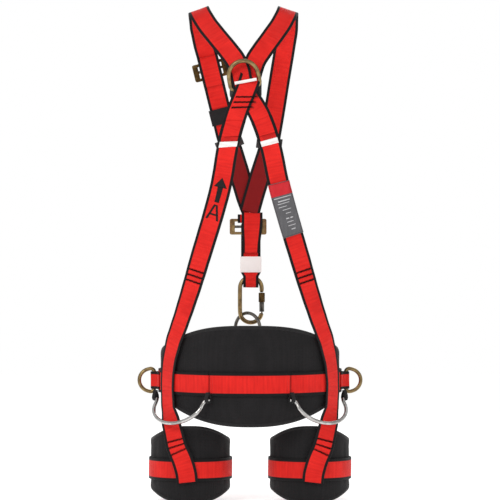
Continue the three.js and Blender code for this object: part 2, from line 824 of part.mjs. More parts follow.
// The belt closes in front with a slide-bar buckle, left of the ventral tab.
const buckleAngle = degrees(-157);
const waistSpot = onEllipse(beltA + 3, beltB + 3, buckleAngle, beltAt(buckleAngle));
const waistAlong = up.clone().cross(waistSpot.out).normalize();
const waistBuckle = buckle("waist_buckle", waistSpot.at, waistAlong, waistSpot.out, 66, 42, beltWidth);

// Belt stations from a fold on the buckle back round the ellipse to the side.
function beltFront(name, fold, from, to) {
  const count = 18;
  const round = Array.from({ length: count + 1 }, (_, i) => {
    const angle = THREE.MathUtils.lerp(from, to, i / count);
    const { at, out } = onEllipse(beltA, beltB, angle, beltAt(angle));
    return { at, out: out.negate(), width: beltWidth };
  });
  const start = { at: fold.at(-1).at, out: waistSpot.out.clone().negate(), width: beltWidth };
  const run = stripStations([start, ...round], 1);
  piece(name, sweep(flatSection(webThickness), [...fold, ...run.slice(1)]), redWebbing());
}
const toLeft = waistAlong;
const toRight = waistAlong.clone().negate();
beltFront(
  "belt_front_left",
  foldStations(waistBuckle.rail, railRadius, toLeft, waistSpot.out, 14, 12, beltWidth),
  degrees(-145),
  -sideEdge - 4 * endGap,
);
beltFront(
  "belt_front_right",
  foldStations(waistBuckle.slider, sliderRadius, toRight, waistSpot.out, 60, 30, beltWidth, sliderPlay),
  degrees(-173),
  -2 * Math.PI + sideEdge + 4 * endGap,
);

// ---- side D-rings on upright bars, each behind a loop of webbing on the belt ----
const sideBeltHeight = beltAt(Math.PI / 2);
const sideLoopReach = sideRodRadius + clearance + webThickness / 2 + 0.4;
const beltOuter = beltA + webThickness / 2;
const sideLoopWidth = sideRingHeight - 4 * sideRodRadius - 3.4;
function sideRing(side, name) {
  const ring = piece(`${name}`, dRing(sideRingHeight, sideRingReach, sideRodRadius), zincSteel());
  ring.position.set(side * sideBarX, 0, sideBeltHeight);
  ring.rotation.set(0, (side * Math.PI) / 2, 0);
  const flat = side * (beltOuter + clearance + webThickness / 2 + 0.2);
  const drop = (y) => side * (1 - Math.sqrt(1 - (y / beltB) ** 2)) * beltA;
  const line = [
    [flat - drop(28), -28],
    [flat - drop(16) + side * 0.6, -16],
    [side * (sideBarX + 1), -sideLoopReach - 0.4],
    [side * (sideBarX + sideLoopReach * 0.75), -sideLoopReach * 0.75],
    [side * (sideBarX + sideLoopReach + 0.4), 0],
    [side * (sideBarX + sideLoopReach * 0.75), sideLoopReach * 0.75],
    [side * (sideBarX + 1), sideLoopReach + 0.4],
    [flat - drop(16) + side * 0.6, 16],
    [flat - drop(28), 28],
  ].map(([x, y]) => v(x, y, sideBeltHeight));
  const stations = line.map((at, i) => {
    const next = line[Math.min(i + 1, line.length - 1)];
    const travel = next.clone().sub(line[Math.max(i - 1, 0)]).normalize();
    return { at, across: up, out: travel.cross(up).normalize(), width: sideLoopWidth };
  });
  piece(`${name}_loop`, sweep(flatSection(webThickness), stations), redWebbing());
}
sideRing(-1, "side_ring_left");
sideRing(1, "side_ring_right");

// ---- hip bails: open rings hung by both ends under the belt, round the hip straps ----
const hipEyeHeight = 214;
const hipOffset = hipRodRadius + webThickness + 2 * clearance + 0.3;
const hipRear = degrees(27);
const hipFore = degrees(81);
const eyeHalf = 10;
const eyeBend = 5;
const eyeTabWidth = 9;
const eyeTabLength = 16;
function hipBail(side, name) {
  const spot = (angle) =>
    onEllipse(waistHalfWidth + hipOffset, waistHalfDepth + hipOffset, side * angle, hipEyeHeight);
  const rear = spot(hipRear);
  const fore = spot(hipFore);
  const chord = fore.at.clone().sub(rear.at);
  const half = chord.length() / 2;
  const middle = rear.at.clone().lerp(fore.at, 0.5);
  const along = chord.normalize();
  const outward = along.clone().cross(up).multiplyScalar(side < 0 ? -1 : 1);
  outward.multiplyScalar(Math.sign(outward.x * side));
  const down = up.clone().multiplyScalar(-hipDrop).addScaledVector(outward, hipOut);
  const reach = down.length();
  down.normalize();
  const place = (s, q) => middle.clone().addScaledVector(along, s).addScaledVector(down, q);
  const points = [place(-half - eyeHalf, 0), place(-half + eyeBend, 0)];
  const bows = 16;
  for (let i = 1; i < bows; i++) {
    const angle = Math.PI * (1 - i / bows);
    points.push(place((half - eyeBend / 2) * Math.cos(angle), 5 + (reach - 5) * Math.sin(angle) ** 0.85));
  }
  points.push(place(half - eyeBend, 0), place(half + eyeHalf, 0));
  const normal = along.clone().cross(down).normalize();
  piece(name, rod(points, hipRodRadius, normal), chrome());
  for (const [end, run] of [["rear", -half - 4], ["fore", half + 4]]) {
    const fold = foldRound(
      place(run, 0),
      hipRodRadius,
      up,
      outward,
      eyeTabLength,
      eyeTabLength,
      eyeTabWidth,
    );
    piece(`${name}_tab_${end}`, fold, blackFabric());
  }
}
hipBail(-1, "hip_ring_left");
hipBail(1, "hip_ring_right");

// ---- leg loops ----
const legPadEdge = degrees(98);
function legLoop(side, name) {
  const centreX = side * legCentreX;
  const top = (angle) => legPadTop - 28 * Math.abs(Math.sin(angle)) ** 2.5;
  const bottom = (angle) => 26 * Math.abs(Math.sin(angle)) ** 2.5;
  const mid = legRadius - legPadThickness / 2;
  piece(
    `${name}_pad`,
    hoop(
      mid,
      mid,
      -legPadEdge,
      legPadEdge,
      24,
      (angle) => (top(angle) + bottom(angle)) / 2,
      (angle) => top(angle) - bottom(angle),
      legPadThickness,
      centreX,
    ),
    blackFabric(),
  );
  const bandRadius = legRadius + clearance + webThickness / 2;
  const toWearersLeft = v(-1, 0, 0);
  const legBuckle = buckle(
    `${name}_buckle`,
    v(centreX, bandRadius + 2, legBandHeight),
    toWearersLeft,
    forward,
    62,
    40,
    webWidth,
  );
  const first = foldStations(legBuckle.rail, railRadius, toWearersLeft, forward, 12, 10, webWidth);
  const last = foldStations(
    legBuckle.slider,
    sliderRadius,
    right,
    rearward,
    24,
    40,
    webWidth,
    sliderPlay,
  );
  const count = 36;
  const round = Array.from({ length: count + 1 }, (_, i) => {
    const angle = degrees(THREE.MathUtils.lerp(-150, 146, i / count));
    const { at, out } = onEllipse(bandRadius, bandRadius, angle, legBandHeight, centreX);
    return { at, out: out.negate() };
  });
  const run = stripStations(
    [
      { at: first.at(-1).at, out: rearward.clone() },
      ...round,
      { at: last[0].at, out: rearward.clone() },
    ],
    1,
  );
  piece(
    `${name}_band`,
    sweep(flatSection(webThickness), [...first, ...run.slice(1, -1), ...last]),
    redWebbing(),
  );
}
legLoop(-1, "leg_left");
legLoop(1, "leg_right");

export default harness;
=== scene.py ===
import json

import bmesh
import bpy
import numpy as np
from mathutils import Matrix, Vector


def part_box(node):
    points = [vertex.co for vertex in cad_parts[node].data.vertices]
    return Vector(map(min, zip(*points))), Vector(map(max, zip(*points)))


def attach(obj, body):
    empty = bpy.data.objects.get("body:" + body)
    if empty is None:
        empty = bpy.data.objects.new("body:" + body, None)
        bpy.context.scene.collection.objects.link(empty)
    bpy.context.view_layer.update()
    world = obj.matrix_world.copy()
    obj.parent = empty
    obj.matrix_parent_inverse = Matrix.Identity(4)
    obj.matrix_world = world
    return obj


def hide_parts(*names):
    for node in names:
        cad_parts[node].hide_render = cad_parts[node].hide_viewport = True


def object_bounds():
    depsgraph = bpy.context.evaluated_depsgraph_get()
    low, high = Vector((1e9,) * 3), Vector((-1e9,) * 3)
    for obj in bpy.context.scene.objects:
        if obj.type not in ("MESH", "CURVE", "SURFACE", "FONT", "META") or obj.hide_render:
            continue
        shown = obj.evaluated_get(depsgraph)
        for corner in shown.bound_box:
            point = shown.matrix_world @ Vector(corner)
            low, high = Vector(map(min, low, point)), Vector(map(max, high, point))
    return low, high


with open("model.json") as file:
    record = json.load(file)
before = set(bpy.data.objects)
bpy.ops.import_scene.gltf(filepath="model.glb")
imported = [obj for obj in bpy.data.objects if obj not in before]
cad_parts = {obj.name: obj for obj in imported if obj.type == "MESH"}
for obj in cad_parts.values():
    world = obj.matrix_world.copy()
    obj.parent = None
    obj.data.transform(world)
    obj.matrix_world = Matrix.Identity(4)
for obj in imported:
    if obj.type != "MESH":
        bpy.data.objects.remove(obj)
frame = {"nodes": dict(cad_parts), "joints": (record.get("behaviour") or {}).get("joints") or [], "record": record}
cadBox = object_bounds()
cadNodes = frame["nodes"]
joints = {j["name"]: j for j in frame["joints"]}
bodyOf = {n: b for b, members in frame["record"]["behaviour"]["bodies"].items() for n in members}
print("frame loaded:", len(cadNodes), "nodes")


def toLinear(hexColour):
    # each channel c becomes c / 12.92 below 0.04045, otherwise ((c + 0.055) / 1.055) to the power 2.4
    c = np.array([int(hexColour[i : i + 2], 16) for i in (1, 3, 5)]) / 255
    return (*np.where(c <= 0.04045, c / 12.92, ((c + 0.055) / 1.055) ** 2.4).tolist(), 1.0)


def addNode(tree, kind, inputs=None, **settings):
    # one shader node: its settings, then each input set to a value or linked to a socket
    made = tree.nodes.new("ShaderNode" + kind)
    for key, value in settings.items():
        setattr(made, key, value)
    for key, value in (inputs or {}).items():
        if isinstance(value, bpy.types.NodeSocket):
            tree.links.new(value, made.inputs[key])
        else:
            made.inputs[key].default_value = value
    return made


def addMix(tree, share, first, second):
    # colours first and second, mixed by share
    return addNode(tree, "Mix", {0: share, 6: first, 7: second}, data_type="RGBA")


def startMaterial(name, shaderInputs):
    made = bpy.data.materials.new(name)
    made.use_nodes = True
    tree = made.node_tree
    tree.nodes.clear()
    shader = addNode(tree, "BsdfPrincipled", shaderInputs)
    addNode(tree, "OutputMaterial", {"Surface": shader.outputs[0]})
    return made, tree, shader


def unit(vectors):
    return vectors / np.linalg.norm(vectors, axis=-1, keepdims=True)


def putMesh(name, points, faces, uv=None, values=None, smooth=True):
    # turns the faces round where the signed volume says that they look inwards
    fans = [(f[0], f[i], f[i + 1]) for f in faces if len(f) > 4 for i in range(1, len(f) - 1)]
    tri = np.array(fans or [(0, 0, 0)])
    quad = np.array([f for f in faces if len(f) == 4] or [(0, 0, 0, 0)])
    corner = np.concatenate([tri, quad[:, :3], quad[:, [0, 2, 3]]])
    a, b, c = (points[corner[:, i]] - points.mean(0) for i in range(3))
    if np.einsum("ij,ij->", a, np.cross(b, c)) < 0:
        faces = [f[::-1] for f in faces]
    mesh = bpy.data.meshes.new(name)
    mesh.from_pydata(points.tolist(), [], faces)
    mesh.polygons.foreach_set("use_smooth", [smooth] * len(mesh.polygons))
    if uv is not None:
        at = np.zeros(len(mesh.loops), int)
        mesh.loops.foreach_get("vertex_index", at)
        mesh.uv_layers.new(name="weave").data.foreach_set("uv", uv[at].ravel())
    for key, value in (values or {}).items():
        mesh.attributes.new(key, "FLOAT", "POINT").data.foreach_set("value", value.astype(np.float32))
    mesh.update()
    made = bpy.data.objects.new(name, mesh)
    bpy.context.scene.collection.objects.link(made)
    return made


def gridFaces(rows, columns, wrapRows, first):
    # quads between neighbouring rows of a closed section, and one flat face at each open end
    r = np.arange(rows if wrapRows else rows - 1)[:, None]
    c = np.arange(columns)[None, :]
    nextR, nextC = (r + 1) % rows, (c + 1) % columns
    quads = np.stack(
        [r * columns + c, r * columns + nextC, nextR * columns + nextC, nextR * columns + c], -1
    ).reshape(-1, 4)
    faces = (quads + first).tolist()
    if not wrapRows:
        faces.append([first + i for i in reversed(range(columns))])
        faces.append([first + (rows - 1) * columns + i for i in range(columns)])
    return faces


def shells(name, grids, wrapRows=False, uvs=None, values=None, smooth=True):
    # several closed shells in one mesh; each grid is rows of a closed section
    points, faces, first = [], [], 0
    for g in grids:
        faces += gridFaces(g.shape[0], g.shape[1], wrapRows, first)
        points.append(g.reshape(-1, 3))
        first += g.shape[0] * g.shape[1]
    uv = None if uvs is None else np.concatenate([u.reshape(-1, 2) for u in uvs])
    return putMesh(name, np.concatenate(points), faces, uv, values, smooth)


def fromSolid(solid, name, smooth=True):
    mesh = bpy.data.meshes.new(name)
    solid.to_mesh(mesh)
    solid.free()
    mesh.polygons.foreach_set("use_smooth", [smooth] * len(mesh.polygons))
    made = bpy.data.objects.new(name, mesh)
    bpy.context.scene.collection.objects.link(made)
    return made


def finishPiece(piece, body, material, slotName, *replaced):
    piece.data.materials.clear()
    piece.data.materials.append(material)
    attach(piece, body)
    if replaced:
        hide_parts(*replaced)
    return piece


def mergedCopy(name):
    made = bmesh.new()
    made.from_mesh(cadNodes[name].data)
    bmesh.ops.remove_doubles(made, verts=made.verts, dist=2e-6)
    made.normal_update()
    made.verts.ensure_lookup_table()
    return made


stationKeys = ("at", "across", "out", "half", "thick")


def openRings(solid):
    # from an end of four corners, each next station is the four corners joined to the last ones
    near = [{e.other_vert(p).index for e in p.link_edges} for p in solid.verts]
    for edge in solid.edges:
        quad = {p.index for f in edge.link_faces for p in f.verts}
        if len(quad) != 4 or len(set().union(*[near[i] for i in quad]) - quad) != 4:
            continue
        rings, seen = [sorted(quad)], set(quad)
        while True:
            more = set().union(*[near[i] for i in rings[-1]]) - seen
            if not more:
                break
            rings.append(sorted(more))
            seen |= more
        if all(len(r) == 4 for r in rings) and len(seen) == len(solid.verts):
            return rings
    return None


def closedRings(solid):
    # the four sharp edges that run round a closed loop, lined up with the first of them
    sharp = [e for e in solid.edges if len(e.link_faces) == 2 and e.calc_face_angle() > 1.0]
    near = {}
    for e in sharp:
        a, b = (p.index for p in e.verts)
        near.setdefault(a, []).append(b)
        near.setdefault(b, []).append(a)
    if any(len(n) != 2 for n in near.values()) or len(near) != len(solid.verts):
        return None
    place = np.array([p.co for p in solid.verts])
    left, chains = set(near), []
    while left:
        start = min(left)
        chain = [start, near[start][0]]
        while chain[-1] != start:
            chain.append(next(i for i in near[chain[-1]] if i != chain[-2]))
        chains.append(np.array(chain[:-1]))
        left -= set(chain)
    if len(chains) != 4 or len({len(c) for c in chains}) != 1:
        return None
    first = chains[0]
    lined = [first]
    for chain in chains[1:]:
        options = [np.roll(way, -k) for way in (chain, chain[::-1]) for k in range(len(chain))]
        lined.append(min(options, key=lambda o: np.linalg.norm(place[o] - place[first], axis=1).sum()))
    return np.stack(lined, 1).tolist()


def stripOf(name, facing, startsAt):
    # centre, unit across, unit out, half width and half thickness at each station
    solid = mergedCopy(name)
    rings = openRings(solid)
    closed = rings is None
    if closed:
        rings = closedRings(solid)
    place = np.array([p.co for p in solid.verts])
    solid.free()
    corners = place[np.array(rings)]
    if not closed and np.dot(corners[0].mean(0) - corners[-1].mean(0), startsAt) < 0:
        corners = corners[::-1]
    at = corners.mean(1)
    order = np.argsort(np.linalg.norm(corners - corners[:, :1], axis=2), axis=1)
    pick = lambda k: np.take_along_axis(corners, order[:, k, None, None], 1)[:, 0]
    own, thin, wide, far = (pick(k) for k in range(4))
    across, out = (wide - own + far - thin) / 2, (thin - own + far - wide) / 2
    half, thick = np.linalg.norm(across, axis=1) / 2, np.linalg.norm(out, axis=1) / 2
    across, out = unit(across), unit(out)
    travel = np.gradient(at, axis=0)
    last = np.array(facing, float)
    for i in range(len(at)):  # keeps one face of the strip outward all the way along
        out[i] *= 1 if np.dot(out[i], last) >= 0 else -1
        last = out[i] if i + 1 == len(at) else out[i] + 0
    sign = np.einsum("ij,ij->i", np.cross(out, travel), across)
    across *= np.where(sign < 0, -1, 1)[:, None]
    if closed:
        at, across, out = (np.concatenate([x, x[:1]]) for x in (at, across, out))
        half, thick = (np.concatenate([x, x[:1]]) for x in (half, thick))
    run = np.concatenate([[0], np.cumsum(np.linalg.norm(np.diff(at, axis=0), axis=1))])
    strip = {"at": at, "across": across, "out": out, "half": half, "thick": thick}
    if closed or run[-1] < 0.2:  # straight legs between tight folds need stations of their own
        fine = np.unique(np.concatenate([run, np.arange(0, run[-1], 0.004)]))
        for key, value in strip.items():
            columns = value.reshape(len(run), -1).T
            strip[key] = np.stack([np.interp(fine, run, c) for c in columns], -1).squeeze()
        run = fine
    return {**strip, "run": run, "closed": closed}


def along(strip, where):
    # a cubic through the stations, its slope at each one taken from the two beside it
    run = strip["run"]
    i = np.clip(np.searchsorted(run, where, side="right") - 1, 0, len(run) - 2)
    h = run[i + 1] - run[i]
    t = np.clip((where - run[i]) / h, 0, 1)
    found = {}
    for key in stationKeys:
        values = strip[key].reshape(len(run), -1)
        slope = np.gradient(values, run, axis=0)
        if strip["closed"]:
            slope[0] = slope[-1] = (slope[0] + slope[-1]) / 2
        t1, h1 = t[:, None], h[:, None]
        got = (
            (2 * t1**3 - 3 * t1**2 + 1) * values[i]
            + (t1**3 - 2 * t1**2 + t1) * h1 * slope[i]
            + (3 * t1**2 - 2 * t1**3) * values[i + 1]
            + (t1**3 - t1**2) * h1 * slope[i + 1]
        )
        found[key] = got if got.shape[1] > 1 else got[:, 0]
    found["across"], found["out"] = unit(found["across"]), unit(found["out"])
    return found


def onStrip(strip, u, v, lift):
    # the point u metres right of the strip's middle, v along it and lift above its outer face
    shape = np.shape(u)
    got = along(strip, np.ravel(v))
    flat = [np.ravel(x)[:, None] for x in (u, np.broadcast_to(lift, shape))]
    points = got["at"] + got["across"] * flat[0] + got["out"] * (got["thick"][:, None] + flat[1])
    return points.reshape(*shape, 3)


# the webbing's colours, and its weave in metres and mm
webLook = {
    "red": "#F2251C",
    "redDeep": "#D5150E",
    "edge": "#060405",
    # painted shade: the dark red that the wearer side of the front straps and each tuck are darkened to
    "inner": "#7C0205",
    "groove": "#8C0D08",
    "edgeBand": 0.0058,
    "warpPitch": 1.5,  # mm between the cords along the webbing
    "weftPitch": 2.6,  # mm, real 1 mm; coarser so that it shows
}


def webbingMaterial(name, look):
    # woven polyester: a soft sheen, cords along it crossed by ribs, dyed black selvedges, and painted shade that
    # darkens it towards a dark red where its attribute asks
    made, tree, shader = startMaterial(
        name, {"Roughness": 0.58, "Sheen Weight": 0.06, "Sheen Roughness": 0.45, "Specular IOR Level": 0.22}
    )
    uv = addNode(tree, "UVMap", uv_map="weave")
    split = addNode(tree, "SeparateXYZ", {0: uv.outputs[0]})
    half = addNode(tree, "Attribute", attribute_name="halfWidth")
    # the share of painted shade at each point, from 0 to 1
    inner = addNode(tree, "Attribute", attribute_name="innerFace")
    away = addNode(tree, "Math", {0: split.outputs[0]}, operation="ABSOLUTE")
    fromEdge = addNode(tree, "Math", {0: half.outputs["Fac"], 1: away.outputs[0]}, operation="SUBTRACT")
    band = addNode(
        tree,
        "MapRange",
        {0: fromEdge.outputs[0], 1: look["edgeBand"] - 0.0004, 2: look["edgeBand"] + 0.0004, 3: 1.0, 4: 0.0},
    )
    turned = addNode(tree, "CombineXYZ", {0: split.outputs[1], 1: split.outputs[0]})
    weave = addNode(
        tree,
        "TexBrick",
        {
            "Vector": turned.outputs[0],
            "Scale": 1000.0,
            "Mortar Size": 0.5,
            "Mortar Smooth": 1.0,
            "Brick Width": look["weftPitch"],
            "Row Height": look["warpPitch"],
        },
    )
    # light and dark bands across the strap, 3 to 8 mm, where the ribs bunch
    stretched = addNode(tree, "Mapping", {0: uv.outputs[0], 3: (18.0, 210.0, 1.0)})
    bands = addNode(tree, "TexNoise", {0: stretched.outputs[0], "Scale": 1.0, "Detail": 3.0})
    folds = addNode(tree, "TexNoise", {0: uv.outputs[0], "Scale": 22.0, "Detail": 2.0})
    tone = addNode(tree, "Math", {0: bands.outputs[0], 1: folds.outputs[0]}, operation="ADD")
    share = addNode(tree, "MapRange", {0: tone.outputs[0], 1: 0.75, 2: 1.3, 3: 0.0, 4: 1.0})
    body = addMix(tree, share.outputs[0], toLinear(look["redDeep"]), toLinear(look["red"]))
    groove = addNode(tree, "MapRange", {0: weave.outputs["Fac"], 1: 0.0, 2: 1.0, 3: 0.0, 4: 0.35})
    woven = addMix(tree, groove.outputs[0], body.outputs[2], toLinear(look["groove"]))
    # painted shade, mixed in towards the dark red
    dark = addMix(tree, inner.outputs["Fac"], woven.outputs[2], toLinear(look["inner"]))
    edged = addMix(tree, band.outputs[0], dark.outputs[2], toLinear(look["edge"]))
    rough = addNode(tree, "MapRange", {0: weave.outputs["Fac"], 1: 0.0, 2: 1.0, 3: 0.52, 4: 0.78})
    ribs = {0: weave.outputs["Fac"], 1: -1.0, 2: bands.outputs[0]}
    relief = addNode(tree, "Math", ribs, operation="MULTIPLY_ADD")
    bump = addNode(tree, "Bump", {"Strength": 0.55, "Distance": 0.0004, "Height": relief.outputs[0]})
    tree.links.new(edged.outputs[2], shader.inputs["Base Color"])
    tree.links.new(rough.outputs[0], shader.inputs["Roughness"])
    tree.links.new(bump.outputs[0], shader.inputs["Normal"])
    return made


def clothMaterial(name, dark, light, pitch, roughness, sheen, depth):
    # knitted or woven cloth read from the piece's own place: small dimples every pitch mm, uneven dye
    made, tree, shader = startMaterial(
        name,
        {"Roughness": roughness, "Sheen Weight": sheen, "Sheen Roughness": 0.5, "Specular IOR Level": 0.3},
    )
    place = addNode(tree, "TexCoord").outputs["Object"]
    cells = addNode(tree, "TexVoronoi", {0: place, "Scale": 1000.0 / pitch, "Randomness": 0.25})
    patches = addNode(tree, "TexNoise", {0: place, "Scale": 35.0, "Detail": 4.0})
    sunk = addNode(tree, "MapRange", {0: cells.outputs["Distance"], 1: 0.1, 2: 0.55, 3: 0.0, 4: 1.0})
    mixed = addNode(tree, "Math", {0: sunk.outputs[0], 1: patches.outputs[0]}, operation="MULTIPLY")
    colour = addNode(
        tree, "Mix", {0: mixed.outputs[0], 6: toLinear(dark), 7: toLinear(light)}, data_type="RGBA"
    )
    bump = addNode(tree, "Bump", {"Strength": 0.6, "Distance": depth, "Height": sunk.outputs[0]})
    tree.links.new(colour.outputs[2], shader.inputs["Base Color"])
    tree.links.new(bump.outputs[0], shader.inputs["Normal"])
    return made


def tapeMaterial(name, base, shade, pitch, roughness):
    # narrow woven tape: fine ribs across it, pitch mm apart
    made, tree, shader = startMaterial(
        name, {"Roughness": roughness, "Sheen Weight": 0.2, "Specular IOR Level": 0.3}
    )
    uv = addNode(tree, "UVMap", uv_map="weave")
    ribs = addNode(
        tree,
        "TexWave",
        {0: uv.outputs[0], "Scale": 1000.0 / pitch / 20, "Distortion": 0.4},
        bands_direction="Y",
    )
    dirt = addNode(tree, "TexNoise", {0: uv.outputs[0], "Scale": 60.0, "Detail": 4.0})
    mixed = addNode(tree, "Math", {0: ribs.outputs["Fac"], 1: dirt.outputs[0]}, operation="MULTIPLY")
    colour = addMix(tree, mixed.outputs[0], toLinear(base), toLinear(shade))
    bump = addNode(tree, "Bump", {"Strength": 0.4, "Distance": 0.0002, "Height": ribs.outputs["Fac"]})
    tree.links.new(colour.outputs[2], shader.inputs["Base Color"])
    tree.links.new(bump.outputs[0], shader.inputs["Normal"])
    return made


def metalMaterial(name, base, tint, roughness, spread, scratch):
    # plated steel: the plating's tint drifts, and fine rubbing marks change the gloss
    made, tree, shader = startMaterial(name, {"Metallic": 1.0})
    place = addNode(tree, "TexCoord").outputs["Object"]
    drift = addNode(tree, "TexNoise", {0: place, "Scale": 70.0, "Detail": 3.0})
    fine = addNode(tree, "TexNoise", {0: place, "Scale": 1400.0, "Detail": 2.0})
    share = addNode(tree, "MapRange", {0: drift.outputs[0], 1: 0.38, 2: 0.64, 3: 0.0, 4: 1.0})
    colour = addMix(tree, share.outputs[0], toLinear(base), toLinear(tint))
    both = addNode(tree, "Math", {0: drift.outputs[0], 1: fine.outputs[0]}, operation="MULTIPLY")
    gloss = addNode(
        tree, "MapRange", {0: both.outputs[0], 1: 0.12, 2: 0.4, 3: roughness - spread, 4: roughness + spread}
    )
    bump = addNode(tree, "Bump", {"Strength": scratch, "Distance": 0.0001, "Height": fine.outputs[0]})
    tree.links.new(colour.outputs[2], shader.inputs["Base Color"])
    tree.links.new(gloss.outputs[0], shader.inputs["Roughness"])
    tree.links.new(bump.outputs[0], shader.inputs["Normal"])
    return made


def plasticMaterial(name, base, roughness, grain):
    # moulded plastic: fine spark-eroded grain and slightly worn gloss
    made, tree, shader = startMaterial(name, {"Roughness": roughness, "IOR": 1.5})
    place = addNode(tree, "TexCoord").outputs["Object"]
    spark = addNode(tree, "TexNoise", {0: place, "Scale": 1000.0 / grain, "Detail": 2.0})
    worn = addNode(tree, "TexNoise", {0: place, "Scale": 60.0, "Detail": 3.0})
    colour = addMix(tree, worn.outputs[0], toLinear(base), toLinear("#2A2829"))
    gloss = addNode(
        tree, "MapRange", {0: worn.outputs[0], 1: 0.3, 2: 0.7, 3: roughness - 0.08, 4: roughness + 0.1}
    )
    bump = addNode(tree, "Bump", {"Strength": 0.35, "Distance": 0.0001, "Height": spark.outputs[0]})
    tree.links.new(colour.outputs[2], shader.inputs["Base Color"])
    tree.links.new(gloss.outputs[0], shader.inputs["Roughness"])
    tree.links.new(bump.outputs[0], shader.inputs["Normal"])
    return made


redWeb = webbingMaterial("polyesterWebbingRed", webLook)
thread = clothMaterial("bondedThreadBlack", "#090708", "#120D0E", 0.8, 0.6, 0.0, 0.0001)
redThread = clothMaterial("bondedThreadRed", "#A5100B", "#D8241B", 0.8, 0.6, 0.2, 0.0001)
ink = clothMaterial("screenInkBlack", "#080606", "#120D0D", 1.6, 0.7, 0.0, 0.00005)
padCloth = clothMaterial("airMeshBlack", "#080708", "#1C191B", 3.2, 0.85, 0.05, 0.0007)
binding = tapeMaterial("bindingTapeBlack", "#060506", "#141113", 1.8, 0.7)
elasticCloth = clothMaterial("elasticWebbingBlack", "#0E0D0E", "#1E1C1E", 1.4, 0.8, 0.05, 0.0003)
whiteTape = tapeMaterial("satinTapeWhite", "#F3EFEC", "#C9C2BE", 1.6, 0.5)
labelGrey = clothMaterial("printedLabelGrey", "#4B4A4C", "#68676A", 2.4, 0.55, 0.05, 0.00008)
labelRed = clothMaterial("printedLabelRed", "#B5121D", "#D0202B", 2.4, 0.5, 0.05, 0.00008)
labelPrint = clothMaterial("printedLabelLight", "#A7A6A8", "#CFCED0", 2.0, 0.55, 0.0, 0.00005)
goldSteel = metalMaterial("yellowZincSteel", "#9A845A", "#6F5D42", 0.36, 0.1, 0.12)
greySteel = metalMaterial("dullZincSteel", "#77756F", "#4E4B46", 0.4, 0.1, 0.12)
brownSteel = metalMaterial("brownZincSteel", "#5F4B2B", "#3A2C19", 0.42, 0.1, 0.2)
brightSteel = metalMaterial("chromePlatedSteel", "#C9C8C6", "#9E9B98", 0.16, 0.06, 0.05)
blackPlastic = plasticMaterial("mouldedNylonBlack", "#0B0A0B", 0.42, 0.6)
slotOf = {
    redWeb: "red_webbing",
    elasticCloth: "black_elastic",
    whiteTape: "white_tape",
    goldSteel: "yellow_zinc_steel",
    greySteel: "grey_steel",
    brownSteel: "brown_zinc_steel",
    brightSteel: "chrome_steel",
    blackPlastic: "black_plastic",
    labelGrey: "grey_label",
    padCloth: "black_pad_fabric",
}
print("materials made")

waves = {"shortWave": 0.041, "longWave": 0.117}
ribbonLook = {"step": 0.003, "flatColumns": 15, "ripple": 0.00022, "curl": 0.0002, **waves}


def ribbon(name, strip, look, shadeBelow=None):
    # a stadium section, two flat faces and two half-round edges, carried along the strip;
    # the outer face rises by small waves along it and its edges curl a little
    count = max(6, int(strip["run"][-1] / look["step"]))
    v = np.linspace(0, strip["run"][-1], count + 1)
    if strip["closed"]:
        v = v[:-1]
    got = along(strip, v)
    flat = np.linspace(-1, 1, look["flatColumns"])
    turn = np.radians([60, 20, -20, -60])
    wide = np.concatenate([flat, np.ones(4), flat[::-1], -np.ones(4)])
    side = np.concatenate([0 * flat, np.cos(turn), 0 * flat, -np.cos(turn)])
    high = np.concatenate([0 * flat + 1, np.sin(turn), 0 * flat - 1, -np.sin(turn)])
    half, thick = got["half"][:, None], got["thick"][:, None]
    u = wide * (half - thick) + side * thick
    short, long = (np.sin(v * 2 * np.pi / look[key])[:, None] for key in ("shortWave", "longWave"))
    wave = look["ripple"] * (short * wide + long)
    ends = np.minimum(v, v[-1] - v)[:, None] / 0.02
    wave = wave * (1 if strip["closed"] else np.clip(ends, 0, 1))
    lift = high * thick + wave + look["curl"] * wide**2
    sideways = got["across"][:, None] * u[..., None]
    points = got["at"][:, None] + sideways + got["out"][:, None] * lift[..., None]
    uv = np.stack([u, np.broadcast_to(v[:, None], u.shape)], -1)
    # painted shade on the wearer side of straps in front, darker from the first height down to the second
    shade = np.zeros(u.shape)
    if shadeBelow:
        depth = np.clip((shadeBelow[0] - points[..., 2]) / (shadeBelow[0] - shadeBelow[1]), 0, 1)
        depth = depth * (points[..., 1] > 0.03)
        shade = (high * shadeBelow[2] > -0.5) * depth * depth * (3 - 2 * depth)
    values = {"halfWidth": np.broadcast_to(half, u.shape).ravel(), "innerFace": shade.ravel()}
    return shells(name, [points], strip["closed"], [uv], values)


rear, front, left, right = (0, -1, 0), (0, 1, 0), (-1, 0, 0), (1, 0, 0)
top, foot = (0, 0, 1), (0, 0, -1)
# node: the way its outer face looks where it begins, and the end it begins at
webbing = {
    "back_strap_left": (rear, foot),
    "back_strap_right": (rear, foot),
    "down_strap_left_upper": (rear, top),
    "down_strap_right_upper": (rear, top),
    "down_strap_left_lower": (rear, top),
    "down_strap_right_lower": (rear, top),
    "front_strap_right": (front, top),
    "front_strap_left_upper": (front, top),
    "front_strap_left_lower": (front, top),
    "chest_loop": (front, top),
    "ventral_tab": (front, top),
    "belt_centre": (rear, left),
    "belt_left": (left, left),
    "belt_right": (rear, left),
    "belt_front_right": (front, left),
    "side_ring_left_loop": (left, rear),
    "side_ring_right_loop": (right, rear),
    "leg_left_band": (front, left),
    "leg_right_band": (front, left),
}
# heights between which painted shade darkens a strap's wearer side, and the side that it is on
shadeInside = {"long_strap_right": (-0.255, -0.30, -1), "front_strap_left_lower": (-0.255, -0.30, 1)}


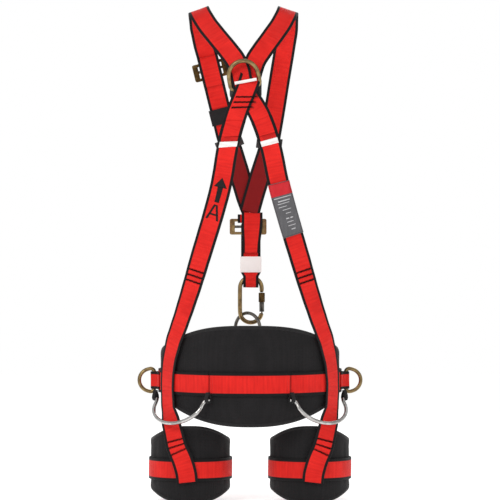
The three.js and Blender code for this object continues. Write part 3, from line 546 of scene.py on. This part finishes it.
def joined(first, second):
    # one continuous strap from two solids that meet end to end; the second's first station is left out
    both = {key: np.concatenate([first[key], second[key][1:]]) for key in stationKeys}
    both["run"] = np.concatenate([[0], np.cumsum(np.linalg.norm(np.diff(both["at"], axis=0), axis=1))])
    both["closed"] = False
    return both


def turnedRound(strip):
    # the same strip, run from its other end
    back = {key: strip[key][::-1] for key in stationKeys}
    back["across"] = -back["across"]
    back["run"] = strip["run"][-1] - strip["run"][::-1]
    back["closed"] = False
    return back


strips = {name: stripOf(name, *ways) for name, ways in webbing.items()}
fullHalf = 0.0222  # the straps lie flat over each other at the crossing
for side in ("left", "right"):
    whole = joined(strips[f"down_strap_{side}_upper"], strips[f"down_strap_{side}_lower"])
    whole["half"] = np.maximum(whole["half"], fullHalf)
    strips[f"down_strap_{side}"] = whole
# the chest fold: webbing that comes down, turns under and goes up again inside its own box
low, high = (np.array(c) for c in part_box("chest_fold"))
bend = np.radians(np.linspace(180, 360, 13))
foldRadius = (high[1] - low[1]) / 2 - 0.0011
foldY, foldZ = (low[1] + high[1]) / 2, low[2] + foldRadius + 0.0011
foldLine = np.concatenate(
    [
        [[0, foldY - 0.0014, high[2]], [0, foldY - foldRadius * 0.8, foldZ + foldRadius]],
        np.stack([0 * bend, foldY + foldRadius * np.cos(bend), foldZ + foldRadius * np.sin(bend)], 1),
        [[0, foldY + foldRadius * 0.8, foldZ + foldRadius], [0, foldY + 0.0014, high[2]]],
    ]
) + np.array([(low[0] + high[0]) / 2, 0, 0])
travel = unit(np.gradient(foldLine, axis=0))
strips["chest_fold"] = {
    "at": foldLine,
    "across": np.tile((1.0, 0.0, 0.0), (len(foldLine), 1)),
    "out": np.cross(travel, (1.0, 0.0, 0.0)),
    "half": np.full(len(foldLine), (high[0] - low[0]) / 2),
    "thick": np.full(len(foldLine), 0.0011),
    "run": np.concatenate([[0], np.cumsum(np.linalg.norm(np.diff(foldLine, axis=0), axis=1))]),
    "closed": False,
}
# each strap runs from one leg over the crossing to the other shoulder and down in front
runsOn = {
    "long_strap_left": ("back_strap_left", "front_strap_left_upper", "right"),
    "long_strap_right": ("back_strap_right", "front_strap_right", "left"),
}
straps = {
    name: (name,)
    for name in (
        "front_strap_left_lower",
        "chest_loop",
        "chest_fold",
        "ventral_tab",
        "belt_centre",
        "belt_left",
        "belt_right",
        "belt_front_left",
        "belt_front_right",
        "side_ring_left_loop",
        "side_ring_right_loop",
        "leg_left_band",
        "leg_right_band",
    )
}
for name, (back, ahead, other) in runsOn.items():
    over = joined(strips[back], strips[ahead])
    over["half"] = np.maximum(over["half"], fullHalf)
    whole = joined(turnedRound(strips[f"down_strap_{other}"]), over)
    if name == "long_strap_left":  # it rides over the other strap inside the dorsal ring
        rise = 0.0018 * np.exp(-(((whole["at"][:, 2] + 0.128) / 0.022) ** 2)) * (whole["out"][:, 1] < -0.5)
        whole["at"] = whole["at"] + whole["out"] * rise[:, None]
    strips[name] = whole
    straps[name] = (back, ahead, f"down_strap_{other}_upper", f"down_strap_{other}_lower")


def bandFromSolid(name):
    # a band whose tapered ends are its own solid's: u is the height from its middle, v the way along it
    solid = mergedCopy(name)
    bmesh.ops.dissolve_limit(solid, angle_limit=0.02, verts=solid.verts, edges=solid.edges)
    bmesh.ops.triangulate(solid, faces=solid.faces)
    low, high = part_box(name)
    weave = solid.loops.layers.uv.new("weave")
    for face in solid.faces:
        for loop in face.loops:
            x, y, z = loop.vert.co
            loop[weave].uv = (z - (low[2] + high[2]) / 2, x - 0.6 * y)
    made = fromSolid(solid, name + "_web", smooth=False)
    for key, value in {"halfWidth": (high[2] - low[2]) / 2, "innerFace": 0.0}.items():
        values = [value] * len(made.data.vertices)
        made.data.attributes.new(key, "FLOAT", "POINT").data.foreach_set("value", values)
    edge = made.modifiers.new("edge", "BEVEL")
    edge.width, edge.segments, edge.limit_method, edge.angle_limit = 0.0006, 3, "ANGLE", 0.8
    return made


for name, replaced in straps.items():
    if name not in strips:
        made = bandFromSolid(name)
    else:
        made = ribbon(name + "_web", strips[name], ribbonLook, shadeInside.get(name))
    finishPiece(made, bodyOf[replaced[0]], redWeb, "red_webbing", *replaced)


def flap(name, line, across, facing, halfWidths):
    # a short strip of webbing through the given points, each its own half width
    at = np.array(line, float)
    travel = unit(np.gradient(at, axis=0))
    sideways = np.broadcast_to(unit(np.array(across, float)), at.shape)
    out = unit(np.cross(travel, sideways))
    out = out * np.where(out @ np.array(facing) < 0, -1, 1)[:, None]
    run = np.concatenate([[0], np.cumsum(np.linalg.norm(np.diff(at, axis=0), axis=1))])
    thick = np.full(len(at), 0.001)
    strips[name] = {
        "at": at,
        "across": sideways,
        "out": out,
        "half": np.array(halfWidths),
        "thick": thick,
        "run": run,
        "closed": False,
    }
    return ribbon(name, strips[name], {**ribbonLook, "step": 0.0015, "ripple": 0.0})


# the sewn layers that cover each buckle on the wearer's side
middleOf = lambda name: (np.array(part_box(name)[0]) + np.array(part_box(name)[1])) / 2
# offsets from the buckle's middle, and the half width there
chestCover = [
    ((0.0085, -0.0030, 0.0300), 0.0225),
    ((0.0085, -0.0070, 0.0230), 0.0225),
    ((0.0085, -0.0082, 0.0120), 0.0225),
    ((0.0080, -0.0080, 0.0020), 0.0222),
    ((0.0075, -0.0058, -0.0160), 0.0210),
    ((0.0068, -0.0046, -0.0350), 0.0195),
    ((0.0060, -0.0042, -0.0560), 0.0188),
]
line = [middleOf("chest_buckle_frame") + np.array(offset) for offset, _ in chestCover]
made = flap("chest_cover", line, right, rear, [half for _, half in chestCover])
finishPiece(made, "harness", redWeb, "red_webbing")
slide = np.array(joints["shoulder_bar_slide"]["axis"])
facing = unit(np.array([-0.07, 0.956, 0.284]))
# up the strap from the frame's middle, and out from it
shoulderCover = [
    (0.030, -0.0030),
    (0.025, -0.0072),
    (0.018, -0.0088),
    (0.008, -0.0084),
    (-0.006, -0.0068),
    (-0.020, -0.0052),
    (-0.034, -0.0040),
]
upward = slide if slide[2] > 0 else -slide
upward = unit(upward)
line = [middleOf("shoulder_adjuster_frame") + upward * a + facing * f for a, f in shoulderCover]
made = flap("shoulder_cover", line, np.cross(facing, upward), rear, [0.0226] * 7)
finishPiece(made, "harness", redWeb, "red_webbing")
print("webbing made:", len(strips))


flatShort = 0.108  # an eight-sided rod ends up this share of its radius too thin when subdivided twice


def roundedRod(name, material, radius):
    # each point moves out by the radius times flatShort, which two subdivisions then take back
    solid = mergedCopy(name)
    bmesh.ops.join_triangles(
        solid, faces=solid.faces, angle_face_threshold=0.6, angle_shape_threshold=3.1, cmp_seam=False
    )
    solid.normal_update()
    for p in solid.verts:
        p.co += p.normal * radius * flatShort
    made = fromSolid(solid, name + "_round")
    smoother = made.modifiers.new("round", "SUBSURF")
    smoother.levels = smoother.render_levels = 2
    return finishPiece(made, bodyOf[name], material, slotOf[material], name)


def bevelled(name, material, width):
    # the flat triangles join into whole faces, whose edges are then broken by a small round
    solid = mergedCopy(name)
    bmesh.ops.dissolve_limit(solid, angle_limit=0.02, verts=solid.verts, edges=solid.edges)
    made = fromSolid(solid, name + "_edged")
    edge = made.modifiers.new("edge", "BEVEL")
    edge.width, edge.segments, edge.limit_method, edge.angle_limit = width, 3, "ANGLE", 0.6
    split = made.modifiers.new("split", "EDGE_SPLIT")
    split.split_angle = 0.9
    return finishPiece(made, bodyOf[name], material, slotOf[material], name)


rodLook = {
    "dorsal_ring": (goldSteel, 0.0045),
    "side_ring_left": (goldSteel, 0.004),
    "side_ring_right": (goldSteel, 0.004),
    "ventral_ring": (greySteel, 0.0037),
    "hip_ring_left": (brightSteel, 0.004),
    "hip_ring_right": (brightSteel, 0.004),
    "carabiner_body": (goldSteel, 0.0046),
}
for nodeName, (material, radius) in rodLook.items():
    roundedRod(nodeName, material, radius)
buckleSteel = {
    "shoulder_adjuster": brownSteel,
    "chest_buckle": goldSteel,
    "waist_buckle": goldSteel,
    "leg_left_buckle": goldSteel,
    "leg_right_buckle": goldSteel,
}
edgeLook = {
    "dorsal_plate": (blackPlastic, 0.0008),
    "keeper_left": (blackPlastic, 0.0009),
    "keeper_right": (blackPlastic, 0.0009),
    "elastic_keeper": (elasticCloth, 0.0004),
    **{
        f"{place}_{part}": (material, width)
        for place, steel in buckleSteel.items()
        for part, material, width in (("frame", steel, 0.0007), ("slide_bar", greySteel, 0.0006))
    },
    "carabiner_gate": (greySteel, 0.0003),
    "chest_wrap_label": (whiteTape, 0.0003),
    **{
        f"hip_ring_{side}_tab_{end}": (elasticCloth, 0.0004)
        for side in ("left", "right")
        for end in ("rear", "fore")
    },
}
for nodeName, (material, width) in edgeLook.items():
    bevelled(nodeName, material, width)
for nodeName, material in {"gate_pin": greySteel, "gate_spring": brightSteel}.items():
    cadNodes[nodeName].data.materials.clear()
    cadNodes[nodeName].data.materials.append(material)
print("hardware made")

sleeveLook = {"knurls": 30, "rows": 9, "depth": 0.00045, "wall": 0.0012, "chamfer": 0.0009}


def knurledSleeve(look):
    # radius R less a diamond relief, depth times |sin(n a / 2 + k z) sin(n a / 2 - k z)|, between two
    # plain bands
    low, high = (np.array(c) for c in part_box("locking_sleeve"))
    middle, radius, tall = (low + high) / 2, (high - low)[0] / 2, (high - low)[2]
    z = np.linspace(0, tall, 61)
    angle = np.linspace(0, 2 * np.pi, 181)[:-1]
    waves = look["knurls"] * angle[None, :] / 2
    rise = z[:, None] / tall * np.pi * look["rows"]
    relief = 1 - np.abs(np.sin(waves + rise) * np.sin(waves - rise))
    band = np.clip(np.minimum(z, tall - z) / 0.0016 - 1, 0, 1)[:, None]
    outer = radius - look["depth"] * relief * band
    outer = outer - np.clip(look["chamfer"] - np.minimum(z, tall - z), 0, None)[:, None] * 0.7
    inner = np.full((2, len(angle)), radius - look["wall"])
    r = np.concatenate([outer, inner])
    height = np.concatenate([z, [tall, 0]])[:, None] + low[2]
    ring = np.stack([middle[0] + r * np.cos(angle), middle[1] + r * np.sin(angle), height + 0 * r], -1)
    return shells("locking_sleeve_knurled", [ring], wrapRows=True)


finishPiece(knurledSleeve(sleeveLook), "carabiner_sleeve", brownSteel, "brown_zinc_steel", "locking_sleeve")


def tube(path, normal, radiusA, radiusB, sides=6, closed=False):
    # an ellipse turned about each point of the path, its first axis sideways and its second along the normal
    if closed:
        forward = np.roll(path, -1, 0) - np.roll(path, 1, 0)
    else:
        forward = np.gradient(path, axis=0)
    sideways = unit(np.cross(unit(forward), normal))
    angle = np.linspace(0, 2 * np.pi, sides + 1)[:-1]
    return (
        path[:, None]
        + sideways[:, None] * (radiusA * np.cos(angle))[None, :, None]
        + normal[:, None] * (radiusB * np.sin(angle))[None, :, None]
    )


def satinBar(strip, v, uFrom, uTo, tall, slant=0.0):
    # one thread going up and down across the strap, close enough to make a solid bar
    turns = int(abs(uTo - uFrom) / 0.00055)
    u = np.linspace(uFrom, uTo, 2 * turns)
    way = np.where(np.arange(2 * turns) % 2, 0.5, -0.5) * tall
    uneven = 0.00025 * np.sin(u * 700)
    v = v + slant * (u - (uFrom + uTo) / 2) + way + uneven
    path = onStrip(strip, u, v, 0.00032 + 0 * u)
    return tube(path, along(strip, v)["out"], 0.00036, 0.0003, 5)


def dashes(strip, u, v, pitch=0.0032, radius=0.00032):
    # separate stitches along a line, each a short thread sunk at both ends
    run = np.concatenate([[0], np.cumsum(np.hypot(np.diff(u), np.diff(v)))])
    found = []
    for start in np.arange(0, run[-1] - pitch, pitch):
        part = start + np.linspace(0, 0.78 * pitch, 4)
        pu, pv = np.interp(part, run, u), np.interp(part, run, v)
        lift = np.array([-0.0002, 0.0003, 0.0003, -0.0002])
        found.append(tube(onStrip(strip, pu, pv, lift), along(strip, pv)["out"], radius, radius * 0.8, 5))
    return found


def flatMark(strip, corners, lift=0.00025, thick=0.00025):
    # four corners (u, v) filled evenly, as a thin closed shell that follows the strap
    a, b, c, d = (np.array(x, float) for x in corners)
    r, t = np.linspace(0, 1, 9)[:, None, None], np.linspace(0, 1, 5)[None, :, None]
    place = (a * (1 - t) + b * t) * (1 - r) + (d * (1 - t) + c * t) * r
    high = onStrip(strip, place[..., 0], place[..., 1], lift + thick)
    low = onStrip(strip, place[..., 0], place[..., 1], lift - thick)
    return np.concatenate([high, low[:, ::-1]], 1)


def heightOn(strip, z):
    # how far along the strap the given height is
    v = np.linspace(0, strip["run"][-1], 600)
    return v[np.argmin(np.abs(along(strip, v)["at"][:, 2] - z))]


# the bars at the crossing are longer and set aside, since they cross both straps
barLook = {"tall": 0.0036, "reach": 0.0170, "crossReach": 0.0210, "crossAside": 0.007}
barRows = [
    ("down_strap_left", (-0.187, -0.1975, -0.208), -0.42),
    ("down_strap_left", (-0.547, -0.558, -0.569), 0.0),
    ("down_strap_right", (-0.547, -0.558, -0.569), 0.0),
    ("down_strap_left", (-0.898, -0.910, -0.922), 0.0),
    ("down_strap_right", (-0.898, -0.910, -0.922), 0.0),
]
grids = []
for nodeName, heights, slant in barRows:
    for z in heights:
        strip = strips[nodeName]
        aside = barLook["crossAside"] if slant else 0.0
        reach = barLook["crossReach" if slant else "reach"]
        v = heightOn(strip, z)
        grids.append(satinBar(strip, v, aside - reach, aside + reach, barLook["tall"], slant))
finishPiece(shells("strap_bar_stitches", grids), "harness", thread, "red_webbing")

arrowLook = {"tip": -0.355, "headLong": 0.020, "headWide": 0.0275, "shaftWide": 0.0112}
strip = strips["down_strap_left"]
tip = heightOn(strip, arrowLook["tip"])
neck = tip + arrowLook["headLong"]
halfHead, halfShaft = arrowLook["headWide"] / 2, arrowLook["shaftWide"] / 2
marks = [
    flatMark(strip, [(-0.0002, tip), (0.0002, tip), (halfHead, neck), (-halfHead, neck)]),
    flatMark(
        strip,
        [
            (-halfShaft, neck),
            (halfShaft, neck),
            (halfShaft * 0.85, neck + 0.032),
            (-halfShaft * 0.85, neck + 0.032),
        ],
    ),
]
letterTop, letterTall, leg = neck + 0.037, 0.032, 0.0044
for way in (-1, 1):
    marks.append(
        flatMark(
            strip,
            [
                (way * 0.0018 - leg / 2, letterTop),
                (way * 0.0018 + leg / 2, letterTop),
                (way * 0.0118 + leg / 2, letterTop + letterTall),
                (way * 0.0118 - leg / 2, letterTop + letterTall),
            ],
        )
    )
barTop, barFoot = letterTop + 0.019, letterTop + 0.0225
marks.append(flatMark(strip, [(-0.009, barTop), (0.009, barTop), (0.010, barFoot), (-0.010, barFoot)]))
finishPiece(shells("attachment_mark", marks), "harness", ink, "red_webbing")

# tapes and the label are short strips of their own
for nodeName, material in {"dorsal_band": whiteTape, "label_right": labelGrey}.items():
    facing, startsAt = (rear, left) if nodeName == "dorsal_band" else (rear, top)
    strips[nodeName] = stripOf(nodeName, facing, startsAt)
    look = {"step": 0.002, "flatColumns": 9, "ripple": 0.00008, "curl": -0.0001, **waves}
    if nodeName == "dorsal_band":
        strips[nodeName]["at"] = strips[nodeName]["at"] + strips[nodeName]["out"] * 0.0016
    made = ribbon(nodeName + "_tape", strips[nodeName], look)
    finishPiece(made, "harness", material, slotOf[material], nodeName)

strip = strips["label_right"]
long, wide = strip["run"][-1], strip["half"][0]
header = 0.24 * long
panel = [flatMark(strip, [(-wide, 0.001), (wide, 0.001), (wide, header), (-wide, header)], 0.0001, 0.0002)]
finishPiece(shells("label_header", panel), "harness", labelRed, "grey_label")
# plain bars in place of print: share of the label's length, height, and both ends as shares of half its width
lineLook = [
    (0.27, 0.0016, -0.8, 0.8),
    (0.33, 0.0022, -0.5, 0.6),
    (0.38, 0.0014, -0.6, 0.5),
    (0.44, 0.0014, -0.6, 0.2),
    (0.50, 0.0014, -0.3, 0.5),
    (0.57, 0.0014, -0.1, 0.4),
    (0.66, 0.0022, -0.2, 0.1),
    (0.66, 0.0022, 0.2, 0.45),
    (0.73, 0.0014, -0.2, 0.4),
    (0.80, 0.0014, -0.2, 0.5),
    (0.87, 0.0018, 0.0, 0.4),
]
bars = []
for share, tall, start, stop in lineLook:
    v, a, b = share * long, start * wide, stop * wide
    bars.append(flatMark(strip, [(a, v), (b, v), (b, v + tall), (a, v + tall)], 0.0001, 0.00015))
finishPiece(shells("label_lines", bars), "harness", labelPrint, "grey_label")
edge = wide - 0.0018
first, last = 0.002, long - 0.002
aside, down = np.array([-edge, edge, edge, -edge, -edge]), np.array([first, first, last, last, first])
grids = dashes(strip, aside, down)
finishPiece(shells("label_stitches", grids), "harness", thread, "grey_label")

# above each fall indicator the strap is folded: an upper layer ends in a step over a shaded tuck
tuckLook = {"left": {"slant": -0.28}, "right": {"slant": 0.03}}
tuckTall, tapeTall, layerTall, tuckShade = 0.011, 0.0115, 0.034, 0.35


def laid(strip, v, halfWide, slant, lifts):
    # a sheet on the strap: rows at v, turned by slant, each row lifted by its own amount
    u = np.linspace(-halfWide, halfWide, 21)[None, :]
    rows = v[:, None] + slant * u
    high = onStrip(strip, u + 0 * rows, rows, (lifts[:, None] + 0 * rows))
    low = onStrip(strip, u + 0 * rows, rows, (lifts[:, None] + 0 * rows) - 0.0007)
    wide = np.concatenate([u + 0 * rows, (u + 0 * rows)[:, ::-1]], 1)
    run = np.concatenate([rows, rows[:, ::-1]], 1)
    return np.concatenate([high, low[:, ::-1]], 1), np.stack([wide, run], -1)


for side, look in tuckLook.items():
    strip = strips[f"down_strap_{side}"]
    low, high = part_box(f"fall_indicator_{side}")
    v0 = heightOn(strip, (low[2] + high[2]) / 2) - tapeTall / 2
    half = fullHalf
    t = np.linspace(0, 1, 8)
    grid, uv = laid(strip, v0 + tapeTall * t, half - 0.004, look["slant"], 0.0006 + 0 * t)
    made = shells(f"fall_indicator_{side}_tape", [grid], uvs=[uv])
    finishPiece(made, "harness", whiteTape, "white_tape", f"fall_indicator_{side}")
    t = np.linspace(0, 1, 14)
    # the tuck: a thin sheet of webbing with painted shade, for the recess under the upper layer
    grid, uv = laid(strip, v0 - tuckTall + tuckTall * t, half + 0.0004, look["slant"], 0.0003 + 0 * t)
    count = grid.shape[0] * grid.shape[1]
    values = {"halfWidth": np.full(count, half), "innerFace": np.full(count, tuckShade)}
    finishPiece(shells(f"tuck_{side}", [grid], uvs=[uv], values=values), "harness", redWeb, "red_webbing")
    lifts = 0.0004 + 0.0026 * np.sin(np.pi / 2 * t) ** 1.5
    grid, uv = laid(strip, v0 - tuckTall - layerTall + layerTall * t, half + 0.0006, look["slant"], lifts)
    values["innerFace"] = 0 * values["innerFace"]
    finishPiece(shells(f"fold_{side}", [grid], uvs=[uv], values=values), "harness", redWeb, "red_webbing")
print("marks and stitches made")

# metres, but for pinch, which places the seams as shares of the length, and the cover's air pressure
waistPad = {
    "rest": 0.0070, "edge": 0.0042, "corner": 0.045, "pinch": (0.30, 0.70), "cap": 0.006, "binding": 0.0042
}
legPad = {
    "rest": 0.0060, "edge": 0.0040, "corner": 0.028, "pinch": (0.2, 0.8), "cap": 0.005, "binding": 0.0036
}
padLook = {"waist_pad": waistPad, "leg_left_pad": legPad, "leg_right_pad": legPad}
padPressure = 4.0


def padHalf(strip, look, v):
    # half height at v, less what a corner of that radius takes off near each end
    got = along(strip, v)
    away = np.minimum(v, strip["run"][-1] - v)
    r = look["corner"]
    inside = np.clip(r - away, 0, r)
    return got, got["half"] - r + np.sqrt(r * r - inside * inside)


def padShell(name, strip, look):
    # two skins over the pad's outline: half thickness rest * (1 - |w|^5)^0.5, never under the edge's,
    # thinner at each seam
    v = np.linspace(0.0008, strip["run"][-1] - 0.0008, 150)
    got, half = padHalf(strip, look, v)
    half = half - look["binding"] * 0.6
    w = np.sin(np.linspace(-1, 1, 41) * np.pi / 2)[None, :]
    ends = np.clip(np.minimum(v, strip["run"][-1] - v) / 0.012, 0, 1)[:, None]
    body = look["rest"] / 2 * np.sqrt(np.clip(1 - np.abs(w) ** 5, 0, 1)) * np.sqrt(ends)
    for share in look["pinch"]:
        body = body * (1 - 0.35 * np.exp(-(((v / v[-1] - share) * v[-1] / 0.006) ** 2)))[:, None]
    body = np.maximum(body, look["edge"] / 2)
    sideways = got["across"][:, None] * (w * half[:, None])[..., None]
    skin = lambda way: got["at"][:, None] + sideways + way * got["out"][:, None] * body[..., None]
    return shells(name, [np.concatenate([skin(1), skin(-1)[:, ::-1]], 1)])


def applied(piece):
    # the mesh as its modifiers leave it, with none left on the piece
    done = bpy.data.meshes.new_from_object(piece.evaluated_get(bpy.context.evaluated_depsgraph_get()))
    piece.modifiers.clear()
    piece.data = done
    return piece


def readPoints(mesh):
    co = np.zeros(len(mesh.vertices) * 3)
    mesh.vertices.foreach_get("co", co)
    return co.reshape(-1, 3)


def stationOf(strip, points):
    # which of 300 samples of the middle line is nearest to each point, seen from above, and the samples
    v = np.linspace(0, strip["run"][-1], 300)
    got = along(strip, v)
    flatPoints, flatLine = points[:, :2], got["at"][:, :2]
    nearest = np.argmin(((flatPoints[:, None] - flatLine[None]) ** 2).sum(-1), 1)
    return nearest, v, got


def inflate(piece, strip, look):
    # foam under its cover: the skins swell under pressure but stay at the edge and the seams
    start = readPoints(piece.data)
    nearest, v, got = stationOf(strip, start)
    high = np.abs(np.einsum("ij,ij->i", start - got["at"][nearest], got["across"][nearest]))
    half = padHalf(strip, look, np.clip(v, 0.001, v[-1] - 0.001))[1]
    rim = np.clip(1 - (half[nearest] - high) / 0.012, 0, 1)
    rim = np.maximum(rim, np.clip(1 - np.minimum(v, v[-1] - v)[nearest] / 0.012, 0, 1))
    for share in look["pinch"]:
        rim = np.maximum(rim, np.exp(-(((v[nearest] - share * v[-1]) / 0.004) ** 2)))
    held = piece.vertex_groups.new(name="held")
    for level in range(1, 11):
        some = np.nonzero(np.ceil(rim * 10).astype(int) == level)[0]
        if len(some):
            held.add(some.tolist(), level / 10, "REPLACE")
    cloth = piece.modifiers.new("cover", "CLOTH")
    cloth.settings.use_pressure = True
    cloth.settings.uniform_pressure_force = padPressure
    cloth.settings.effector_weights.gravity = 0
    cloth.settings.vertex_group_mass = "held"
    cloth.settings.quality = 4
    for moment in range(1, 21):
        bpy.context.scene.frame_set(moment)
    applied(piece)
    moved = readPoints(piece.data) - start
    size = np.linalg.norm(moved, axis=1, keepdims=True)
    moved *= np.minimum(1, look["cap"] / 2 / np.maximum(size, 1e-9))
    piece.data.vertices.foreach_set("co", (start + moved).ravel())
    piece.data.update()
    bpy.context.scene.frame_set(1)
    print("  ", piece.name, "swelled by up to", round(float(size.max()) * 1000, 1), "mm")


for nodeName, look in padLook.items():
    strip = stripOf(nodeName, left, left)
    strips[nodeName] = strip
    made = padShell(nodeName + "_foam", strip, look)
    inflate(made, strip, look)
    softer = made.modifiers.new("soft", "SUBSURF")
    softer.levels = softer.render_levels = 1
    applied(made)
    made.data.polygons.foreach_set("use_smooth", [True] * len(made.data.polygons))
    finishPiece(made, "harness", padCloth, "black_pad_fabric", nodeName)
    # bound edge: flat tape folded over the rim
    v = np.linspace(0.0004, strip["run"][-1] - 0.0004, 160)
    got, half = padHalf(strip, look, v)
    upper = got["at"] + got["across"] * half[:, None]
    lower = got["at"] - got["across"] * half[:, None]
    close = lambda a, b: a + (b - a) * np.linspace(0, 1, 14)[1:-1, None]
    rim = np.concatenate([upper, close(upper[-1], lower[-1]), lower[::-1], close(lower[0], upper[0])])
    out = got["out"]
    outs = np.concatenate([out, np.repeat(out[-1:], 12, 0), out[::-1], np.repeat(out[:1], 12, 0)])
    grid = tube(rim, outs, look["binding"], look["edge"] / 2 + 0.0016, 14, closed=True)
    run = np.concatenate([[0], np.cumsum(np.linalg.norm(np.diff(rim, axis=0), axis=1))])
    uv = np.stack(np.broadcast_arrays(np.linspace(0, 0.03, 14)[None, :], run[:, None]), -1)
    made = shells(nodeName + "_binding", [grid], wrapRows=True, uvs=[uv])
    finishPiece(made, "harness", binding, "black_pad_fabric")
print("pads made")

# two rows of stitches at each end of the belt's centre panel
strip = strips["belt_centre"]
reach, last = strip["half"][0] - 0.004, strip["run"][-1]
line = np.array([-reach, reach])
grids = []
for v in (0.003, 0.007, last - 0.003, last - 0.007):
    grids += dashes(strip, line, np.full(2, v))
finishPiece(shells("belt_seams", grids), "harness", redThread, "red_webbing")

low, high = (np.array(c) for c in cadBox)
floorLook = {"size": 6.0, "gap": 0.002, "taper": 0.98, "thick": 0.02}
floorTop = low[2] - floorLook["gap"]
square = np.array([(-1, -1, 0), (1, -1, 0), (1, 1, 0), (-1, 1, 0)]) * floorLook["size"]
levels = np.array([[[0, 0, floorTop]], [[0, 0, floorTop - floorLook["thick"]]]])
slab = np.stack([square, square * floorLook["taper"]]) + levels
made = shells("studio_floor", [slab], smooth=False)
floorPaint, tree, shader = startMaterial(
    "paintedFloor",
    {"Roughness": 0.9, "Specular IOR Level": 0.0, "Emission Color": (1, 1, 1, 1), "Emission Strength": 0.42},
)
grain = addNode(tree, "TexNoise", {0: addNode(tree, "TexCoord").outputs["Object"], "Scale": 3.0})
colour = addMix(tree, grain.outputs[0], toLinear("#F6F6F5"), toLinear("#FBFBFB"))
tree.links.new(colour.outputs[2], shader.inputs["Base Color"])
made.data.materials.append(floorPaint)

world = bpy.data.worlds.new("studio")
world.use_nodes = True
world.node_tree.nodes["Background"].inputs[0].default_value = (1, 1, 1, 1)
sky = world.node_tree
direct = addNode(sky, "LightPath")
# plain white behind the object, softer as a light on it
strength = addNode(sky, "MapRange", {0: direct.outputs["Is Camera Ray"], 1: 0.0, 2: 1.0, 3: 0.62, 4: 1.0})
sky.links.new(strength.outputs[0], sky.nodes["Background"].inputs[1])
bpy.context.scene.world = world
bpy.context.scene.view_settings.view_transform = "Standard"


def addLight(name, place, target, size, power):
    lamp = bpy.data.lights.new(name, "AREA")
    lamp.energy, lamp.size = power, size
    made = bpy.data.objects.new(name, lamp)
    bpy.context.scene.collection.objects.link(made)
    made.location = place
    aim = np.array(target) - np.array(place)
    made.rotation_euler = Vector(aim).to_track_quat("-Z", "Y").to_euler()


middle = (low + high) / 2
addLight("key", (-1.6, -2.4, 1.2), middle, 1.2, 38)
addLight("fill", (2.2, -2.0, 0.2), middle, 1.8, 10)
addLight("front", (0.6, 2.4, 0.8), middle, 1.6, 22)

cameraLook = {"distance": 6.0, "sensor": 36.0, "frameSize": 1.05, "height": -0.504}
lens = bpy.data.cameras.new("view")
lens.sensor_width = cameraLook["sensor"]
lens.lens = cameraLook["sensor"] * cameraLook["distance"] / cameraLook["frameSize"]
eye = bpy.data.objects.new("view", lens)
bpy.context.scene.collection.objects.link(eye)
eye.location = (0, -cameraLook["distance"], cameraLook["height"])
eye.rotation_euler = (np.pi / 2, 0, 0)
bpy.context.scene.camera = eye

print("scene ready")
